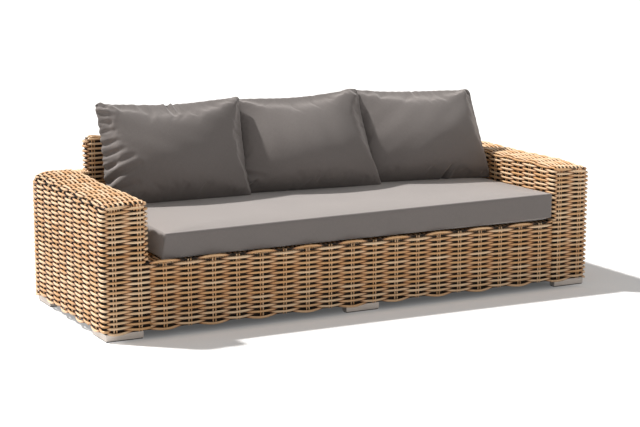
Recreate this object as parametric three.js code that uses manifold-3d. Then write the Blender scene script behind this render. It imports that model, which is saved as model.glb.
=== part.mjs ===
// Rattan garden sofa: a welded square-tube frame, woven skins over it, metal feet with glides, one long
// seat cushion and three loose back cushions. Millimetres, +X to the sitter's left, -Y to the front, +Z up.
// The origin is on the floor, under the middle of the sofa.
import * as THREE from 'three';
import { mergeVertices } from 'three/addons/utils/BufferGeometryUtils.js';
import Module from 'manifold-3d';

const wasm = await Module();
wasm.setup();

// Overall sizes
const width = 2300;
const depth = 848;
const armWidth = 197;
const armHeight = 550;
const backHeight = 700;
const deckHeight = 304;
const standHeight = 30;

// Woven skins and their rounded edges
const weave = 20;
const armSideRadius = 45;
const armFrontRadius = 15;
const armInnerRadius = 30;
const armRearRadius = 40;
const armCornerRadius = 26;
const armLidDepth = 30;
const armLidOver = 16;
const backRadius = 30;
const apronRadius = 18;
const backInset = 26;

// Weaving: rows of cane lie one above the other, and each passes in front of every other stake
const rowPitch = 10;
const rowFoot = 5.5;
const relief = 8;
const frontStakeStep = 104.6;
const frontStakeCount = 22;
const sideStakeStep = 90.6;
const sideStakeCount = 10;
const rearStakeInset = 14;
const rowEndShare = 1 / 4;

// Frame tube
const tubeSide = 25;
const tubeWall = 1.5;
const tubeClear = 0.5;
const crossbarSpacing = 640;

// Feet and glides
const footInset = 15;
const footLegX = 155;
const footLegY = 152;
const footBar = 35;
const glideHeight = 4;
const glideInset = 2.5;
const pegRadius = 4;
const pegClear = 0.3;
const pegLength = 16;
const pegInset = 30;
const pegSides = 8;

// Seat cushion, and how far it lies from the arms, the front and the back panel
const seatThickness = 113;
const seatCrown = 7;
const seatSetback = 14;
const seatRearGap = 13;
const seatLeftGap = 63;
const seatRightGap = 3;
const seatEdgePull = 7;
const seatDraw = 5;

// Back cushions: the lay is how far each one's right side lies in front of the next one's left side
const pillowHeight = 465;
const pillowThickness = 180;
const pillowSeam = 6;
const pillowDraw = 10;
const pillowTopDraw = 18;
const pillowCount = 3;
const pillowLay = 50;
const pillowOverlapShare = 0.082;
const pillowLeftGap = 45;
const pillowRightGap = 7;
const pillowSettle = 9;
const pillowLeanDegrees = { left: 16.5, middle: 19, right: 20.5 };
const crownPower = 2.4;
const crownFall = 0.8;

// Cushion covers and zips
const coverCloth = 2;
const zipWidth = 5;
const zipEndInset = 160;
const zipProud = 1;
const pullLength = 12;
const pullThickness = 3;
const tabLength = 24;
const tabWidth = 6;
const pillowZipLength = 420;
const pillowZipRise = 60;

// Gaps between pieces that touch, and how far a cutting block runs past what it cuts
const gap = 0.3;
const overrun = 40;

// Places that follow from the sizes above; lowest and highest of each space
const halfWidth = width / 2;
const rearY = depth / 2;
const frontY = -rearY;
const armInnerX = halfWidth - armWidth;
const skinToTube = weave + tubeClear + tubeSide / 2;
const outerTubeX = halfWidth - skinToTube;
const innerTubeX = armInnerX + skinToTube;
const frontTubeY = frontY + skinToTube;
const rearTubeY = rearY - skinToTube;
const armRailZ = armHeight - skinToTube;
const backRailZ = backHeight - skinToTube;
const baseRailZ = standHeight + gap + tubeSide / 2;
const seatRailZ = deckHeight - weave - gap - tubeSide / 2;
const backHalfWidth = armInnerX - backInset;
const backPostX = backHalfWidth - skinToTube;
const backFrontY = rearY - 2 * (weave + tubeClear) - tubeSide;
const seatRearRailY = rearTubeY - tubeSide - gap;
const tubeStep = tubeSide / 2 + gap;
const seatBottomZ = deckHeight + gap;
const seatTopZ = seatBottomZ + seatThickness + seatCrown;
const seatWidth = 2 * armInnerX - seatLeftGap - seatRightGap;
const seatDepth = backFrontY - seatRearGap - frontY - seatSetback;
const seatCentreX = armInnerX - seatRightGap - seatWidth / 2;
const seatCentreY = frontY + seatSetback + seatDepth / 2;
const pillowRow = 2 * armInnerX - pillowLeftGap - pillowRightGap;
const pillowReach = pillowRow / (pillowCount - (pillowCount - 1) * pillowOverlapShare);
const pillowPitch = pillowReach * (1 - pillowOverlapShare);
const pillowYaw = Math.asin(pillowLay / pillowPitch);
const pillowWidth = pillowReach / Math.cos(pillowYaw);

// Finishes
const finishes = {
  weave: { color: 0xb98a4e, roughness: 0.6, metalness: 0 },
  frame: { color: 0x3a2f28, roughness: 0.5, metalness: 0.2 },
  foot: { color: 0xb9bbbd, roughness: 0.3, metalness: 0.9 },
  glide: { color: 0x1d1c1b, roughness: 0.7, metalness: 0 },
  cover: { color: 0x7f7470, roughness: 0.9, metalness: 0 },
  filling: { color: 0xe9e4d8, roughness: 0.95, metalness: 0 },
  zip: { color: 0x4a4441, roughness: 0.6, metalness: 0 },
  pull: { color: 0x8d8f92, roughness: 0.35, metalness: 0.9 },
};

const sofa = new THREE.Group();

function add(name, geometry, finish) {
  const mesh = new THREE.Mesh(geometry, new THREE.MeshStandardMaterial(finishes[finish]));
  mesh.name = name;
  sofa.add(mesh);
}

// A closed geometry as a solid that can be joined and cut
function toSolid(geometry) {
  const bare = geometry.clone();
  bare.deleteAttribute('normal');
  bare.deleteAttribute('uv');
  const welded = mergeVertices(bare);
  return new wasm.Manifold(new wasm.Mesh({
    numProp: 3,
    vertProperties: new Float32Array(welded.attributes.position.array),
    triVerts: new Uint32Array(welded.index.array),
  }));
}

function toGeometry(solid) {
  const mesh = solid.getMesh();
  const geometry = new THREE.BufferGeometry();
  geometry.setAttribute('position', new THREE.BufferAttribute(mesh.vertProperties, 3));
  geometry.setIndex(new THREE.BufferAttribute(mesh.triVerts, 1));
  geometry.computeVertexNormals();
  return geometry;
}

// A plain block between two corners
function block(low, high) {
  const size = high.map((value, axis) => value - low[axis]);
  const middle = high.map((value, axis) => (value + low[axis]) / 2);
  return new THREE.BoxGeometry(...size).translate(...middle);
}

// A corner of an outline: the start, the middle and the end of the arc that rounds it, each with its normal.
// The outline runs along the first direction into the corner and leaves it along the second.
function roundedCorner(corner, ahead, next, radius) {
  const diagonal = Math.SQRT1_2;
  const centre = corner.map((value, axis) => value + radius * (next[axis] - ahead[axis]));
  const normals = [
    [ahead[1], -ahead[0]],
    [(ahead[1] + next[1]) * diagonal, (-ahead[0] - next[0]) * diagonal],
    [next[1], -next[0]],
  ];
  return normals.map((normal) => ({
    at: centre.map((value, axis) => value + radius * normal[axis]),
    normal,
  }));
}

// Gives every point of an outline its stake count: known at the stakes, and between them in proportion to
// the distance walked along the outline
function countStakes(outline) {
  const walked = [0];
  for (let i = 1; i < outline.length; i += 1) {
    const [a, b] = [outline[i - 1].at, outline[i].at];
    walked.push(walked[i - 1] + Math.hypot(b[0] - a[0], b[1] - a[1]));
  }
  const known = outline.map((point, i) => i).filter((i) => outline[i].stake !== undefined);
  return outline.map((point, i) => {
    const after = known.find((k) => k >= i && k > known[0]) ?? known[known.length - 1];
    const before = known[known.indexOf(after) - 1];
    const share = (walked[i] - walked[before]) / (walked[after] - walked[before]);
    const stake = outline[before].stake + share * (outline[after].stake - outline[before].stake);
    return { ...point, stake };
  });
}

// A closed woven solid. Rings of vertices repeat a convex outline at each station. A vertex lies on the
// outline where its strand passes in front, and in from it by the relief where the strand passes behind: it
// moves evenly from one to the other as the stake count plus the station's number goes from even to odd.
// Plain points stay on the outline, and a rounded edge draws in by more than the relief. Each face between
// two rings is split along the diagonal that stands out more.
function wovenSolid(outline, stations, drawIn, place) {
  const counted = countStakes(outline);
  const wave = (point, station) => {
    const turns = (point.stake + station.number) / 2;
    return point.plain ? 1 : 4 * Math.abs(turns - Math.floor(turns) - 1 / 2) - 1;
  };
  const vertices = [];
  for (const station of stations) {
    for (const point of counted) {
      const inset = Math.max(relief * (1 - wave(point, station)) / 2, drawIn(point, station));
      const [a, b] = point.at.map((value, axis) => value - point.normal[axis] * inset);
      vertices.push(...place(a, b, station.at));
    }
  }
  const middle = [0, 1].map((axis) => {
    const values = counted.map((point) => point.at[axis]);
    return (Math.max(...values) + Math.min(...values)) / 2;
  });
  const count = counted.length;
  const last = stations.length - 1;
  vertices.push(...place(...middle, stations[0].at), ...place(...middle, stations[last].at));
  const faces = [];
  for (let i = 0; i < count; i += 1) {
    const j = (i + 1) % count;
    for (let ring = 0; ring < last; ring += 1) {
      const [near, far] = [stations[ring], stations[ring + 1]];
      const rising = wave(counted[i], near) + wave(counted[j], far);
      const falling = wave(counted[j], near) + wave(counted[i], far);
      const [a, b] = [ring * count + i, ring * count + j];
      const [c, d] = [b + count, a + count];
      faces.push(...(rising > falling ? [a, b, c, a, c, d] : [a, b, d, b, c, d]));
    }
    const bottom = count * stations.length;
    faces.push(bottom, j, i, bottom + 1, last * count + i, last * count + j);
  }
  const geometry = new THREE.BufferGeometry();
  geometry.setAttribute('position', new THREE.Float32BufferAttribute(vertices, 3));
  geometry.setIndex(faces);
  return toSolid(geometry);
}

// Stations at the rows' heights between a bottom and a top, and at both ends
function rowStations(bottom, top) {
  const number = (height) => (height - standHeight - rowFoot) / rowPitch;
  const stations = [{ at: bottom, number: number(bottom) }];
  const firstRow = Math.ceil(number(bottom) + rowEndShare);
  for (let row = firstRow; row < number(top) - rowEndShare; row += 1) {
    stations.push({ at: standHeight + rowFoot + row * rowPitch, number: row });
  }
  stations.push({ at: top, number: number(top) });
  return stations;
}

// Stations counted further by one row for the right arm, whose stakes continue the apron's
function countedFor(sign, stations) {
  return sign < 0 ? stations : stations.map((station) => ({ ...station, number: station.number + 1 }));
}

// How far a rounded edge has drawn in at a height
function rounding(height, top, radius) {
  const above = Math.min(Math.max(height - (top - radius), 0), radius);
  return radius - Math.sqrt(radius * radius - above * above);
}

// Places of the stakes along the front and along an arm
const frontStakeX = (k) => (k - (frontStakeCount - 1) / 2) * frontStakeStep;
const sideStakeY = (k) => rearY - rearStakeInset - k * sideStakeStep;

// Frame tubes: a square with a square hole, carried along its length
function square(side) {
  const half = side / 2;
  const outline = new THREE.Shape();
  outline.moveTo(-half, -half);
  outline.lineTo(half, -half);
  outline.lineTo(half, half);
  outline.lineTo(-half, half);
  outline.closePath();
  return outline;
}

function addTube(name, axis, start, end, across, up) {
  const outline = square(tubeSide);
  outline.holes.push(square(tubeSide - 2 * tubeWall));
  const geometry = new THREE.ExtrudeGeometry(outline, { depth: end - start, bevelEnabled: false });
  if (axis === 'x') {
    geometry.rotateY(Math.PI / 2).translate(start, across, up);
  } else if (axis === 'y') {
    geometry.rotateX(-Math.PI / 2).translate(across, start, up);
  } else {
    geometry.translate(across, up, start);
  }
  add(name, geometry, 'frame');
}

function addBaseFrame() {
  const railEndX = outerTubeX - tubeStep;
  addTube('base_rail_front', 'x', -railEndX, railEndX, frontTubeY, baseRailZ);
  addTube('base_rail_rear', 'x', -railEndX, railEndX, rearTubeY, baseRailZ);
  const railEndY = rearTubeY + tubeSide / 2;
  addTube('base_rail_left', 'y', -railEndY, railEndY, -outerTubeX, baseRailZ);
  addTube('base_rail_right', 'y', -railEndY, railEndY, outerTubeX, baseRailZ);
}

function addArmFrame(side, sign) {
  const postFoot = baseRailZ + tubeStep;
  const postHead = armRailZ - tubeStep;
  addTube(`${side}_arm_post_outer_front`, 'z', postFoot, postHead, sign * outerTubeX, frontTubeY);
  addTube(`${side}_arm_post_outer_rear`, 'z', postFoot, postHead, sign * outerTubeX, rearTubeY);
  addTube(`${side}_arm_post_inner_front`, 'z', postFoot, postHead, sign * innerTubeX, frontTubeY);
  const railEndY = rearTubeY + tubeSide / 2;
  addTube(`${side}_arm_rail_outer`, 'y', -railEndY, railEndY, sign * outerTubeX, armRailZ);
  addTube(`${side}_arm_rail_inner`, 'y', -railEndY, rearTubeY - tubeStep, sign * innerTubeX, armRailZ);
  const frontBridge = [sign * (innerTubeX + tubeStep), sign * (outerTubeX - tubeStep)].sort((a, b) => a - b);
  addTube(`${side}_arm_bridge_front`, 'x', ...frontBridge, frontTubeY, armRailZ);
  const rearBridge = [sign * (backPostX + tubeStep), sign * (outerTubeX - tubeStep)].sort((a, b) => a - b);
  addTube(`${side}_arm_bridge_rear`, 'x', ...rearBridge, rearTubeY, armRailZ);
}

function addBackFrame() {
  const postFoot = baseRailZ + tubeStep;
  const postHead = backRailZ - tubeStep;
  addTube('back_post_left', 'z', postFoot, postHead, -backPostX, rearTubeY);
  addTube('back_post_middle', 'z', postFoot, postHead, 0, rearTubeY);
  addTube('back_post_right', 'z', postFoot, postHead, backPostX, rearTubeY);
  const railEndX = backPostX + tubeSide / 2;
  addTube('back_top_rail', 'x', -railEndX, railEndX, rearTubeY, backRailZ);
}

function addSeatFrame() {
  const frontEndX = innerTubeX - tubeStep;
  addTube('seat_rail_front', 'x', -frontEndX, frontEndX, frontTubeY, seatRailZ);
  const rearEndX = backPostX + tubeSide / 2;
  addTube('seat_rail_rear', 'x', -rearEndX, rearEndX, seatRearRailY, seatRailZ);
  const crossStart = frontTubeY + tubeStep;
  const crossEnd = seatRearRailY - tubeStep;
  addTube('seat_crossbar_left', 'y', crossStart, crossEnd, -crossbarSpacing / 2, seatRailZ);
  addTube('seat_crossbar_right', 'y', crossStart, crossEnd, crossbarSpacing / 2, seatRailZ);
  addTube('front_middle_post', 'z', baseRailZ + tubeStep, seatRailZ - tubeStep, 0, frontTubeY);
}

// An arm's walls seen from above, from the rear's inner corner round the outer side and the front to the
// inner side. The front's inner corner is square up to the deck and rounded above it.
function armOutline() {
  const outline = [{ at: [-armInnerX, rearY], normal: [0, 1] }];
  outline.push({ at: [frontStakeX(1), rearY], normal: [0, 1], stake: -2 });
  outline.push({ at: [frontStakeX(0), rearY], normal: [0, 1], stake: -1 });
  outline.push(...roundedCorner([-halfWidth, rearY], [-1, 0], [0, -1], armCornerRadius));
  for (let k = 1; k < sideStakeCount - 1; k += 1) {
    outline.push({ at: [-halfWidth, sideStakeY(k)], normal: [-1, 0], stake: k });
  }
  outline.push(...roundedCorner([-halfWidth, frontY], [0, -1], [1, 0], armCornerRadius));
  outline.push({ at: [frontStakeX(0), frontY], normal: [0, -1], stake: sideStakeCount });
  outline.push({ at: [frontStakeX(1), frontY], normal: [0, -1], stake: sideStakeCount + 1 });
  outline.push({ at: [-armInnerX, frontY], normal: [0, -1], plain: true });
  outline.push({ at: [-armInnerX, frontY + armFrontRadius], normal: [1, 0], plain: true });
  outline.push({ at: [-armInnerX, rearY - weave], normal: [1, 0], plain: true });
  return outline;
}

// The arm's walls, which draw in towards the top: widely at the outer side, narrowly at the front
function armWalls(sign) {
  const drawIn = (point, station) => {
    const [x, y] = point.normal;
    const outer = rounding(station.at, armHeight, armSideRadius) * Math.max(-x, 0) ** 2;
    const front = rounding(station.at, armHeight, armFrontRadius) * Math.max(-y, 0) ** 2;
    const inner = rounding(station.at, armHeight, armInnerRadius) * Math.max(x, 0) ** 2;
    const rear = rounding(station.at, armHeight, armRearRadius) * Math.max(y, 0) ** 2;
    return outer + front + inner + rear;
  };
  const stations = countedFor(sign, rowStations(standHeight, armHeight - armFrontRadius));
  return wovenSolid(armOutline(), stations, drawIn, (x, y, z) => [x, y, z]);
}

// The arm's lid: its section follows the rounded outer edge, the flat top and the rounded inner edge, with
// a row at each point, and its stations are the stakes, so its rows run along the arm. Its ends bend down.
function armLid(sign) {
  const [outerX, innerX] = [-halfWidth + armSideRadius, -armInnerX - armInnerRadius];
  const section = [];
  const addPoint = (at, normal) => section.push({ at, normal, stake: section.length });
  const firstTurn = Math.asin(1 - armFrontRadius / armSideRadius);
  const outerRows = Math.round((Math.PI / 2 - firstTurn) * armSideRadius / rowPitch);
  for (let row = 0; row < outerRows; row += 1) {
    const turn = firstTurn + (Math.PI / 2 - firstTurn) * row / outerRows;
    const normal = [-Math.cos(turn), Math.sin(turn)];
    addPoint([outerX + armSideRadius * normal[0], armHeight + armSideRadius * (normal[1] - 1)], normal);
  }
  const flatRows = Math.round((innerX - outerX) / rowPitch);
  for (let row = 0; row < flatRows; row += 1) {
    addPoint([outerX + (innerX - outerX) * row / flatRows, armHeight], [0, 1]);
  }
  const lastTurn = Math.acos(1 - armFrontRadius / armInnerRadius);
  const innerRows = Math.round(lastTurn * armInnerRadius / rowPitch);
  for (let row = 0; row <= innerRows; row += 1) {
    const normal = [Math.sin(lastTurn * row / innerRows), Math.cos(lastTurn * row / innerRows)];
    addPoint([innerX + armInnerRadius * normal[0], armHeight + armInnerRadius * (normal[1] - 1)], normal);
  }
  section.push({ at: [innerX, armHeight - armLidDepth], normal: [0, -1], plain: true });
  section.push({ at: [outerX, armHeight - armLidDepth], normal: [0, -1], plain: true });
  const stations = [
    { at: rearY - weave, number: -rowEndShare, bend: armLidOver },
    { at: sideStakeY(0) - armRearRadius, number: 0, bend: 0 },
  ];
  const lastStake = sideStakeCount - 1;
  for (let k = 1; k < lastStake; k += 1) {
    stations.push({ at: sideStakeY(k), number: k, bend: 0 });
  }
  stations.push({ at: frontY + armLidOver, number: lastStake, bend: 0 });
  stations.push({ at: frontY + relief / 2, number: lastStake + rowEndShare, bend: armLidOver / 2 });
  const bend = (point, station) => (point.plain ? 0 : station.bend);
  return wovenSolid(section.reverse(), countedFor(sign, stations), bend, (x, z, y) => [x, y, z]);
}

// One arm's weave: outer side, front, top, inner side and rear in one shell that is open underneath.
// Its inner side stops at the underside of the deck, and the rear bridge tube passes through it.
function addArmWeave(side, sign) {
  const cut = (solid, near, far, low, high, bottom, top) => (
    solid.subtract(toSolid(block([-far, low, bottom], [-near, high, top])))
  );
  const sunk = standHeight - overrun;
  let solid = armWalls(sign).add(armLid(sign));
  const hollowTop = armHeight - weave;
  solid = cut(solid, armInnerX + weave, halfWidth - weave, frontY + weave, rearY - weave, sunk, hollowTop);
  solid = cut(solid, armInnerX - overrun, armInnerX + weave + gap, frontY + weave, rearY - weave,
    sunk, deckHeight - weave);
  const halfPassage = tubeSide / 2 + tubeClear;
  solid = cut(solid, armInnerX - overrun, armInnerX + weave + gap, rearTubeY - halfPassage,
    rearTubeY + halfPassage, armRailZ - halfPassage, armRailZ + halfPassage);
  add(`${side}_arm_weave`, toGeometry(sign < 0 ? solid : solid.mirror([1, 0, 0])), 'weave');
}

// Points on a straight wall at the front stakes between two of them, from the first to the last
function stakedWall(first, last, y, normal, firstStake) {
  const wall = [];
  const step = Math.sign(last - first);
  for (let k = first; k !== last + step; k += step) {
    wall.push({ at: [frontStakeX(k), y], normal, stake: firstStake + Math.abs(k - first) });
  }
  return wall;
}

// The apron: an upright panel between the arms whose top front edge is rounded
function addApronWeave() {
  const halfLength = armInnerX - gap;
  const last = frontStakeCount - 3;
  const outline = [
    { at: [-halfLength, frontY + weave], normal: [0, 1], plain: true },
    { at: [-halfLength, frontY], normal: [0, -1], plain: true },
    ...stakedWall(2, last, frontY, [0, -1], sideStakeCount + 2),
    { at: [halfLength, frontY], normal: [0, -1], plain: true },
    { at: [halfLength, frontY + weave], normal: [0, 1], plain: true },
  ];
  const drawIn = (point, station) => (
    rounding(station.at, deckHeight, apronRadius) * Math.max(-point.normal[1], 0)
  );
  const solid = wovenSolid(outline, rowStations(standHeight, deckHeight), drawIn, (x, y, z) => [x, y, z]);
  add('front_apron_weave', toGeometry(solid), 'weave');
}

function addDeckWeave() {
  const halfLength = armInnerX - gap;
  const low = [-halfLength, frontY + weave + gap, deckHeight - weave];
  const high = [halfLength, backFrontY + weave - gap, deckHeight];
  add('seat_deck_weave', block(low, high), 'weave');
}

// The back panel: wrapped front, top, ends and rear, with shoulders that meet the arms, and a rear side
// that runs down to the arms' lower edge. It is hollow for its tubes and open underneath.
function addBackWeave() {
  const reachX = armInnerX - gap;
  const sunk = standHeight - overrun;
  const last = frontStakeCount - 3;
  const lowerOutline = [
    { at: [-reachX, backFrontY], normal: [0, -1], plain: true },
    { at: [reachX, backFrontY], normal: [0, -1], plain: true },
    { at: [reachX, rearY], normal: [0, 1], plain: true },
    ...stakedWall(last, 2, rearY, [0, 1], 0),
    { at: [-reachX, rearY], normal: [0, 1], plain: true },
  ];
  const upperOutline = [
    ...roundedCorner([-backHalfWidth, backFrontY], [0, -1], [1, 0], backRadius),
    ...roundedCorner([backHalfWidth, backFrontY], [1, 0], [0, 1], backRadius),
    ...roundedCorner([backHalfWidth, rearY], [0, 1], [-1, 0], backRadius),
    ...stakedWall(last - 1, 3, rearY, [0, 1], 1),
    ...roundedCorner([-backHalfWidth, rearY], [-1, 0], [0, -1], backRadius),
  ];
  const drawIn = (point, station) => rounding(station.at, backHeight, backRadius);
  const upright = (x, y, z) => [x, y, z];
  const lower = wovenSolid(lowerOutline, rowStations(standHeight, armHeight), drawIn, upright);
  const upper = wovenSolid(upperOutline, rowStations(armHeight, backHeight), drawIn, upright);
  let solid = lower.add(upper);
  const hollowFront = backFrontY + weave;
  const hollowRear = rearY - weave;
  const wide = block(
    [-reachX - overrun, hollowFront, sunk - overrun],
    [reachX + overrun, hollowRear, armHeight - weave],
  );
  const tall = block(
    [weave - backHalfWidth, hollowFront, standHeight],
    [backHalfWidth - weave, hollowRear, backHeight - weave],
  );
  const underFront = block(
    [-reachX - overrun, backFrontY - overrun, sunk - overrun],
    [reachX + overrun, hollowRear, deckHeight + gap],
  );
  for (const cutter of [wide, tall, underFront]) {
    solid = solid.subtract(toSolid(cutter));
  }
  add('back_weave', toGeometry(solid), 'weave');
}

// A foot's outline seen from above: an L whose legs run along X and Y from the corner, or a straight bar
function cornerOutline(signX, signY, inset) {
  const cornerX = halfWidth - footInset - inset;
  const cornerY = rearY - footInset - inset;
  const endX = halfWidth - footInset - footLegX + inset;
  const endY = rearY - footInset - footLegY + inset;
  const bar = footBar - 2 * inset;
  const outline = new THREE.Shape();
  outline.moveTo(signX * cornerX, signY * cornerY);
  outline.lineTo(signX * endX, signY * cornerY);
  outline.lineTo(signX * endX, signY * (cornerY - bar));
  outline.lineTo(signX * (cornerX - bar), signY * (cornerY - bar));
  outline.lineTo(signX * (cornerX - bar), signY * endY);
  outline.lineTo(signX * cornerX, signY * endY);
  outline.closePath();
  return outline;
}

function middleOutline(signY, inset) {
  const halfLength = footLegX / 2 - inset;
  const outer = rearY - footInset - inset;
  const inner = rearY - footInset - footBar + inset;
  const outline = new THREE.Shape();
  outline.moveTo(-halfLength, signY * outer);
  outline.lineTo(halfLength, signY * outer);
  outline.lineTo(halfLength, signY * inner);
  outline.lineTo(-halfLength, signY * inner);
  outline.closePath();
  return outline;
}

// A foot with its two peg holes, and the glide whose pegs fill them
function addFoot(name, makeOutline, pegs) {
  const foot = makeOutline(0);
  const holesTurnBack = !THREE.ShapeUtils.isClockWise(foot.getPoints());
  for (const [x, y] of pegs) {
    const hole = new THREE.Path();
    hole.absarc(x, y, pegRadius + pegClear, 0, 2 * Math.PI, holesTurnBack);
    foot.holes.push(hole);
  }
  const footGeometry = new THREE.ExtrudeGeometry(foot, {
    depth: standHeight - glideHeight,
    bevelEnabled: false,
    curveSegments: pegSides,
  });
  add(`${name}_foot`, footGeometry.translate(0, 0, glideHeight), 'foot');
  const pad = new THREE.ExtrudeGeometry(makeOutline(glideInset), {
    depth: glideHeight - gap,
    bevelEnabled: false,
  });
  let glide = toSolid(pad);
  for (const [x, y] of pegs) {
    const peg = new THREE.CylinderGeometry(pegRadius, pegRadius, pegLength, pegSides);
    peg.rotateX(Math.PI / 2).translate(x, y, glideHeight / 2 + pegLength / 2);
    glide = glide.add(toSolid(peg));
  }
  add(`${name}_glide`, toGeometry(glide), 'glide');
}

function addFeet() {
  const barX = halfWidth - footInset - footBar / 2;
  const barY = rearY - footInset - footBar / 2;
  const legEndX = halfWidth - footInset - footLegX + pegInset;
  const legEndY = rearY - footInset - footLegY + pegInset;
  for (const [row, signY] of [['front', -1], ['rear', 1]]) {
    for (const [side, signX] of [['left', -1], ['right', 1]]) {
      const pegs = [[signX * legEndX, signY * barY], [signX * barX, signY * legEndY]];
      addFoot(`${row}_${side}`, (inset) => cornerOutline(signX, signY, inset), pegs);
    }
    const pegX = footLegX / 2 - pegInset;
    const pegs = [[-pegX, signY * barY], [pegX, signY * barY]];
    addFoot(`${row}_middle`, (inset) => middleOutline(signY, inset), pegs);
  }
}

// Moves every vertex of a unit block's grid: shares run from -1 to 1 and crowd towards the edges
function shaped(steps, place) {
  const geometry = new THREE.BoxGeometry(2, 2, 2, ...steps);
  const position = geometry.attributes.position;
  for (let i = 0; i < position.count; i += 1) {
    const shares = [position.getX(i), position.getY(i), position.getZ(i)];
    const eased = shares.map((share) => Math.sin(share * Math.PI / 2));
    position.setXYZ(i, ...place(...eased));
  }
  return geometry;
}

// The seat cushion's form: a foam block with soft edges, a crowned top, a flat underside and sides that
// draw in a little towards the middle of their length. The inset makes the cover's inside and the foam.
const seatSteps = [14, 8, 2];
const edgeShare = 8;

function seatForm(inset) {
  const halfX = seatWidth / 2 - inset;
  const halfY = seatDepth / 2 - inset;
  const halfZ = seatThickness / 2 - inset;
  return shaped(seatSteps, (u, v, w) => {
    const nearX = Math.abs(u) ** edgeShare;
    const nearY = Math.abs(v) ** edgeShare;
    const nearZ = Math.abs(w) ** edgeShare;
    const drawX = seatDraw * (1 - v * v) * nearX;
    const drawY = seatDraw * (1 - u * u) * nearY;
    const pullX = seatEdgePull * Math.max(nearY, nearZ) * nearX + drawX;
    const pullY = seatEdgePull * Math.max(nearX, nearZ) * nearY + drawY;
    const pullZ = seatEdgePull * Math.max(nearX, nearY) * nearZ;
    const crown = seatCrown * (1 - u * u) * (1 - v * v) * (w + 1) / 2;
    return [
      u * halfX - Math.sign(u) * pullX,
      v * halfY - Math.sign(v) * pullY,
      w * halfZ - Math.sign(w) * pullZ + crown,
    ];
  }).translate(seatCentreX, seatCentreY, seatBottomZ + seatThickness / 2);
}

// The seat cushion: cover, foam, the zip along its rear side and the pull that runs on it
function addSeatCushion() {
  const rearFaceY = seatCentreY + seatDepth / 2;
  const middleZ = seatBottomZ + seatThickness / 2;
  const halfZip = seatWidth / 2 - zipEndInset;
  const innerY = rearFaceY - 2 * seatEdgePull - seatDraw;
  const zipBlock = (grow, outerY) => block(
    [seatCentreX - halfZip - grow, innerY, middleZ - zipWidth / 2 - grow],
    [seatCentreX + halfZip + grow, outerY, middleZ + zipWidth / 2 + grow],
  );
  const slot = toSolid(zipBlock(gap, rearFaceY + overrun));
  const cover = toSolid(seatForm(0)).subtract(toSolid(seatForm(coverCloth))).subtract(slot);
  add('seat_cushion_cover', toGeometry(cover), 'cover');
  const foam = toSolid(seatForm(coverCloth + gap)).subtract(slot);
  add('seat_cushion_foam', toGeometry(foam), 'filling');
  const zipFaceY = rearFaceY + zipProud;
  add('seat_cushion_zip', toGeometry(toSolid(zipBlock(0, zipFaceY))), 'zip');
  const pullX = seatCentreX - halfZip + pullLength / 2;
  const bodyLow = [pullX - pullLength / 2, zipFaceY + gap, middleZ - zipWidth];
  const bodyHigh = [pullX + pullLength / 2, zipFaceY + gap + pullThickness, middleZ + zipWidth];
  const tabLow = [pullX - tabWidth / 2, zipFaceY + gap + pullThickness / 2, middleZ - tabLength];
  const tabHigh = [pullX + tabWidth / 2, zipFaceY + gap + pullThickness, middleZ];
  const pull = toSolid(block(bodyLow, bodyHigh)).add(toSolid(block(tabLow, tabHigh)));
  add('seat_cushion_zip_pull', toGeometry(pull), 'pull');
}

// A back cushion's form, upright and unturned: two crowned faces that meet in a thin seam, with sides and
// a top that draw in between pointed corners, and a straight lower seam to stand on
const pillowSteps = [10, 1, 8];

function pillowForm(inset) {
  const halfX = pillowWidth / 2 - inset;
  const halfZ = pillowHeight / 2 - inset;
  const halfSeam = pillowSeam / 2;
  const crown = pillowThickness / 2 - halfSeam;
  return shaped(pillowSteps, (u, v, w) => {
    const bulge = ((1 - Math.abs(u) ** crownPower) * (1 - Math.abs(w) ** crownPower)) ** crownFall;
    return [
      u * (halfX - pillowDraw * (1 - w * w)),
      Math.sign(v) * (halfSeam + crown * bulge - inset),
      w * halfZ - pillowTopDraw * (1 - u * u) * (1 + w) / 2,
    ];
  });
}

// Leans a back cushion towards the back panel and turns its right side forward
function leaned(geometry, lean) {
  return geometry.rotateX(-lean).rotateZ(-pillowYaw);
}

// How far back a leaned cushion reaches below a height
function reachBelow(geometry, height) {
  const position = geometry.attributes.position;
  let reach = 0;
  for (let i = 0; i < position.count; i += 1) {
    if (position.getZ(i) <= height) {
      reach = Math.max(reach, position.getY(i));
    }
  }
  return reach;
}

// A back cushion stands on the seat cushion, where it is pressed flat, and leans on the back panel
function addBackCushion(side, centreX) {
  const lean = THREE.MathUtils.degToRad(pillowLeanDegrees[side]);
  const centreZ = seatTopZ - pillowSettle + pillowHeight / 2 * Math.cos(lean);
  const reach = reachBelow(leaned(pillowForm(0), lean), backHeight - centreZ);
  const centreY = backFrontY - gap - reach;
  const place = (geometry) => leaned(geometry, lean).translate(centreX, centreY, centreZ);
  const flattened = (inset) => {
    const seat = seatForm(0).translate(0, 0, gap + inset);
    return toSolid(place(pillowForm(inset))).subtract(toSolid(seat));
  };
  const zipBlock = (grow) => {
    const halfLength = pillowZipLength / 2 + grow;
    const rise = pillowZipRise - pillowHeight / 2;
    const low = [-halfLength, pillowSeam, rise - zipWidth / 2 - grow];
    const high = [halfLength, pillowThickness, rise + zipWidth / 2 + grow];
    return toSolid(place(block(low, high)));
  };
  const shell = flattened(0).subtract(flattened(coverCloth));
  const name = `${side}_back_cushion`;
  add(`${name}_cover`, toGeometry(shell.subtract(zipBlock(gap))), 'cover');
  add(`${name}_zip`, toGeometry(shell.intersect(zipBlock(0))), 'zip');
  add(`${name}_filling`, toGeometry(flattened(coverCloth + gap)), 'filling');
}

function addBackCushions() {
  const rightX = armInnerX - pillowRightGap - pillowReach / 2;
  ['right', 'middle', 'left'].forEach((side, place) => addBackCushion(side, rightX - place * pillowPitch));
}

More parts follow.
